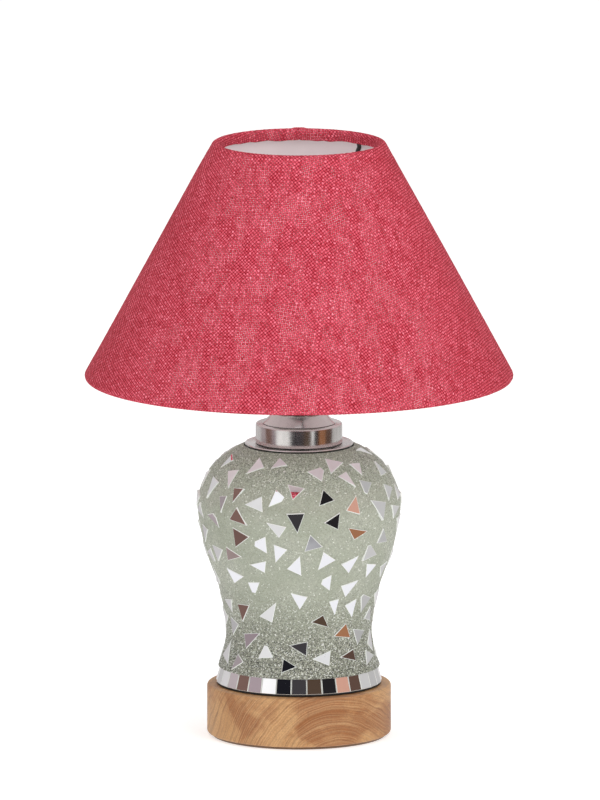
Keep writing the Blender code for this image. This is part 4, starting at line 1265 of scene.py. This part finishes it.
def plug_strain_relief():
    """Six ribs behind the plug, each a little smaller than the last."""
    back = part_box("plug_body")[1].y
    outline = [(0.0030, back - 0.001), (0.0060, back - 0.001)]
    for k in range(6):
        rib = back + 0.0012 + 0.0026 * k
        r = 0.0058 - 0.00035 * k
        outline += [(r, rib), (r, rib + 0.0013), (r - 0.0013, rib + 0.0016), (r - 0.0013, rib + 0.0024)]
    outline += [(0.0030, outline[-1][1])]
    mesh = lathe_mesh("plug_strain_relief", outline, True, 48)
    plug = middle("plug_body")
    extra_piece(laid_back(mesh, plug.x, plug.z), "plug_body", "black_phenolic")


# Everything else


TURNED = {
    # CAD node: (piece name, edge radius)
    "felt_pad": ("felt_disc", 0.0004),
    "base_washer": ("base_washer_plate", 0.0002),
    "threaded_tube": ("lamp_pipe", 0.0002),
    "foot_gasket": ("foot_seal", 0.0003),
    "neck_gasket": ("neck_seal", 0.0001),
    "cap_flange": ("steel_flange", 0.0002),
    "collar_cup": ("steel_cup", 0.0004),
    "collar_cone": ("steel_cone", 0.0004),
    "top_washer": ("top_washer_plate", 0.0002),
    "glass_vase": ("glass_body", 0.0004),
    "lampholder_cap": ("holder_cap", 0.0008),
    "lampholder_body": ("holder_sleeve", 0.0005),
    "lampholder_screw_shell": ("holder_shell", 0.0002),
    "bulb_screw_cap": ("bulb_cap", 0.0004),
    "bulb_insulator": ("bulb_insulator_disc", 0.0004),
    "bulb_tip_contact": ("bulb_tip", 0.0002),
    "shade_washer": ("shade_washer_disc", 0.0002),
}

REFINED = {
    # CAD node: (piece name, edge width)
    "switch_base": ("switch_lower_shell", 0.0004),
    "switch_cover": ("switch_upper_shell", 0.0004),
    "switch_rocker": ("switch_rocker_cap", 0.0006),
    "plug_body": ("plug_moulding", 0.0004),
    "plug_pin_left": ("plug_pin_left_metal", 0.0003),
    "plug_pin_right": ("plug_pin_right_metal", 0.0003),
    "shade_ring": ("shade_ring_grip", 0.0003),
    "base_nut": ("base_nut_hex", 0.0004),
    "top_nut": ("top_nut_hex", 0.0004),
    "lampholder_insert": ("holder_porcelain", 0.0004),
}


def bulb_glass():
    """The candle envelope turned again through a smooth outline."""
    outline = cad_outline("bulb_envelope")
    if outline[0][1] < outline[-1][1]:
        outline = outline[::-1]
    lowest = min(z for _, z in outline)
    rim = next(k for k, (_, z) in enumerate(outline) if z < lowest + LEVEL) + 1
    points = catmull(outline[:rim], 6) + catmull(outline[rim:], 6)
    finer = [(max(float(r), 0.0), float(z)) for r, z in points]
    new_piece(lathe_mesh("bulb_glass", finer, False, 96), "bulb_envelope")


def remaining_nodes():
    """CAD nodes that stay: their own solids get their slot's material."""
    for node, shown in NODES.items():
        if shown.hide_render:
            continue
        shown.data.materials.clear()
        shown.data.materials.append(slot_material(SLOT_OF[node]))
        weld = shown.modifiers.new("weld", "WELD")
        weld.merge_threshold = SAME


# The stage


def stage():
    """Pale floor, soft light and the long-lens camera."""
    scene = bpy.context.scene
    scene.view_settings.view_transform = "Standard"
    scene.view_settings.look = "None"
    add_floor()
    scene.world = studio_world()
    for row in LIGHTS:
        add_light(*row)
    scene.camera = long_lens()


def add_floor():
    h = FLOOR_HALF
    mesh = bpy.data.meshes.new("floor")
    mesh.from_pydata([(-h, -h, 0), (h, -h, 0), (h, h, 0), (-h, h, 0)], [], [(0, 1, 2, 3)])
    mesh.materials.append(material(pale_floor))
    floor = placed(mesh)
    floor.location.z = -0.0002
    floor.visible_glossy = False


def pale_floor(tree):
    glow = {"Emission_Color": Tree.rgba(WHITE), "Emission_Strength": 0.55}
    finish_material(tree, (0.75, 0.75, 0.75), 0.9, Specular_IOR_Level=0.0, **glow)


def add_light(name, place, size, power):
    """A square soft box aimed at the lamp, unseen itself."""
    light = bpy.data.lights.new(name, "AREA")
    light.size = size
    light.energy = power
    box = placed(light)
    box.location = place
    aim = Vector((0, 0, 0.2)) - Vector(place)
    box.rotation_euler = aim.to_track_quat("-Z", "Y").to_euler()
    box.visible_glossy = False
    box.visible_camera = False


def long_lens():
    lens = bpy.data.cameras.new("camera")
    lens.sensor_width = SENSOR
    lens.lens = SENSOR * VIEW_DISTANCE / (FRAME_HEIGHT_PIXELS * METRES_PER_PIXEL)
    lens.clip_end = 100.0
    camera = placed(lens)
    back = Vector((0.0, -cos(VIEW_ELEVATION), sin(VIEW_ELEVATION)))
    camera.location = Vector(VIEW_CENTRE) + back * VIEW_DISTANCE
    camera.rotation_euler = (-back).to_track_quat("-Z", "Y").to_euler()
    return camera


def studio_world():
    """Even white light. Mirrors see a studio: white above and below, a dark room between with soft boxes."""
    world = bpy.data.worlds.new("studio")
    tree = Tree(world)
    direction = tree.node("TexCoord", None, "Generated")
    x, y, z = tree.split(direction)
    azimuth = tree.math("ARCTAN2", x, tree.times(y, -1.0))
    elevation = tree.math("ARCSINE", z)
    stops = [((angle + 180) / 360, colour) for angle, colour in ROOM_BANDS]
    room = tree.ramp(tree.fit(azimuth, 1 / TAU, 0.5), stops, "CONSTANT")
    uneven = tree.between(tree.noise(direction, 7.0, 3.0), 0.3, 0.7, 0.72, 1.22, False)
    room = tree.tinted(room, tree.grey(uneven))
    for sides, rise, colour in ROOM_PATCHES:
        patch = tree.times(tree.window(azimuth, *sides), tree.between(elevation, *rise))
        room = tree.mix(patch, room, colour)
    high = tree.between(elevation, radians(32), radians(34))
    low = tree.between(elevation, radians(-32), radians(-29), 1.0, 0.0)
    seen = tree.mix(low, tree.mix(high, room, CEILING), GROUND)
    ray = tree.node("LightPath").node.outputs
    mirrored = tree.node("Background", {0: seen, 1: 1.0})
    even = tree.node("Background", {0: Tree.rgba(WHITE), 1: 0.58})
    backdrop = tree.node("Background", {0: Tree.rgba(WHITE), 1: 1.0})
    shown = tree.node("MixShader", {0: ray["Is Glossy Ray"], 1: even, 2: mirrored})
    shown = tree.node("MixShader", {0: ray["Is Camera Ray"], 1: shown, 2: backdrop})
    tree.node("OutputWorld", {"Surface": shown})
    return world


def main():
    mosaic()
    mirror_band()
    shade_cloth()
    seam_strip()
    shade_inside()
    wooden_base()
    grommet()
    for node, (name, edge) in TURNED.items():
        turned_again(node, name, edge)
    bulb_glass()
    cords()
    for node, (name, edge) in REFINED.items():
        refined(node, name, edge)
    plug_strain_relief()
    remaining_nodes()
    stage()


main()
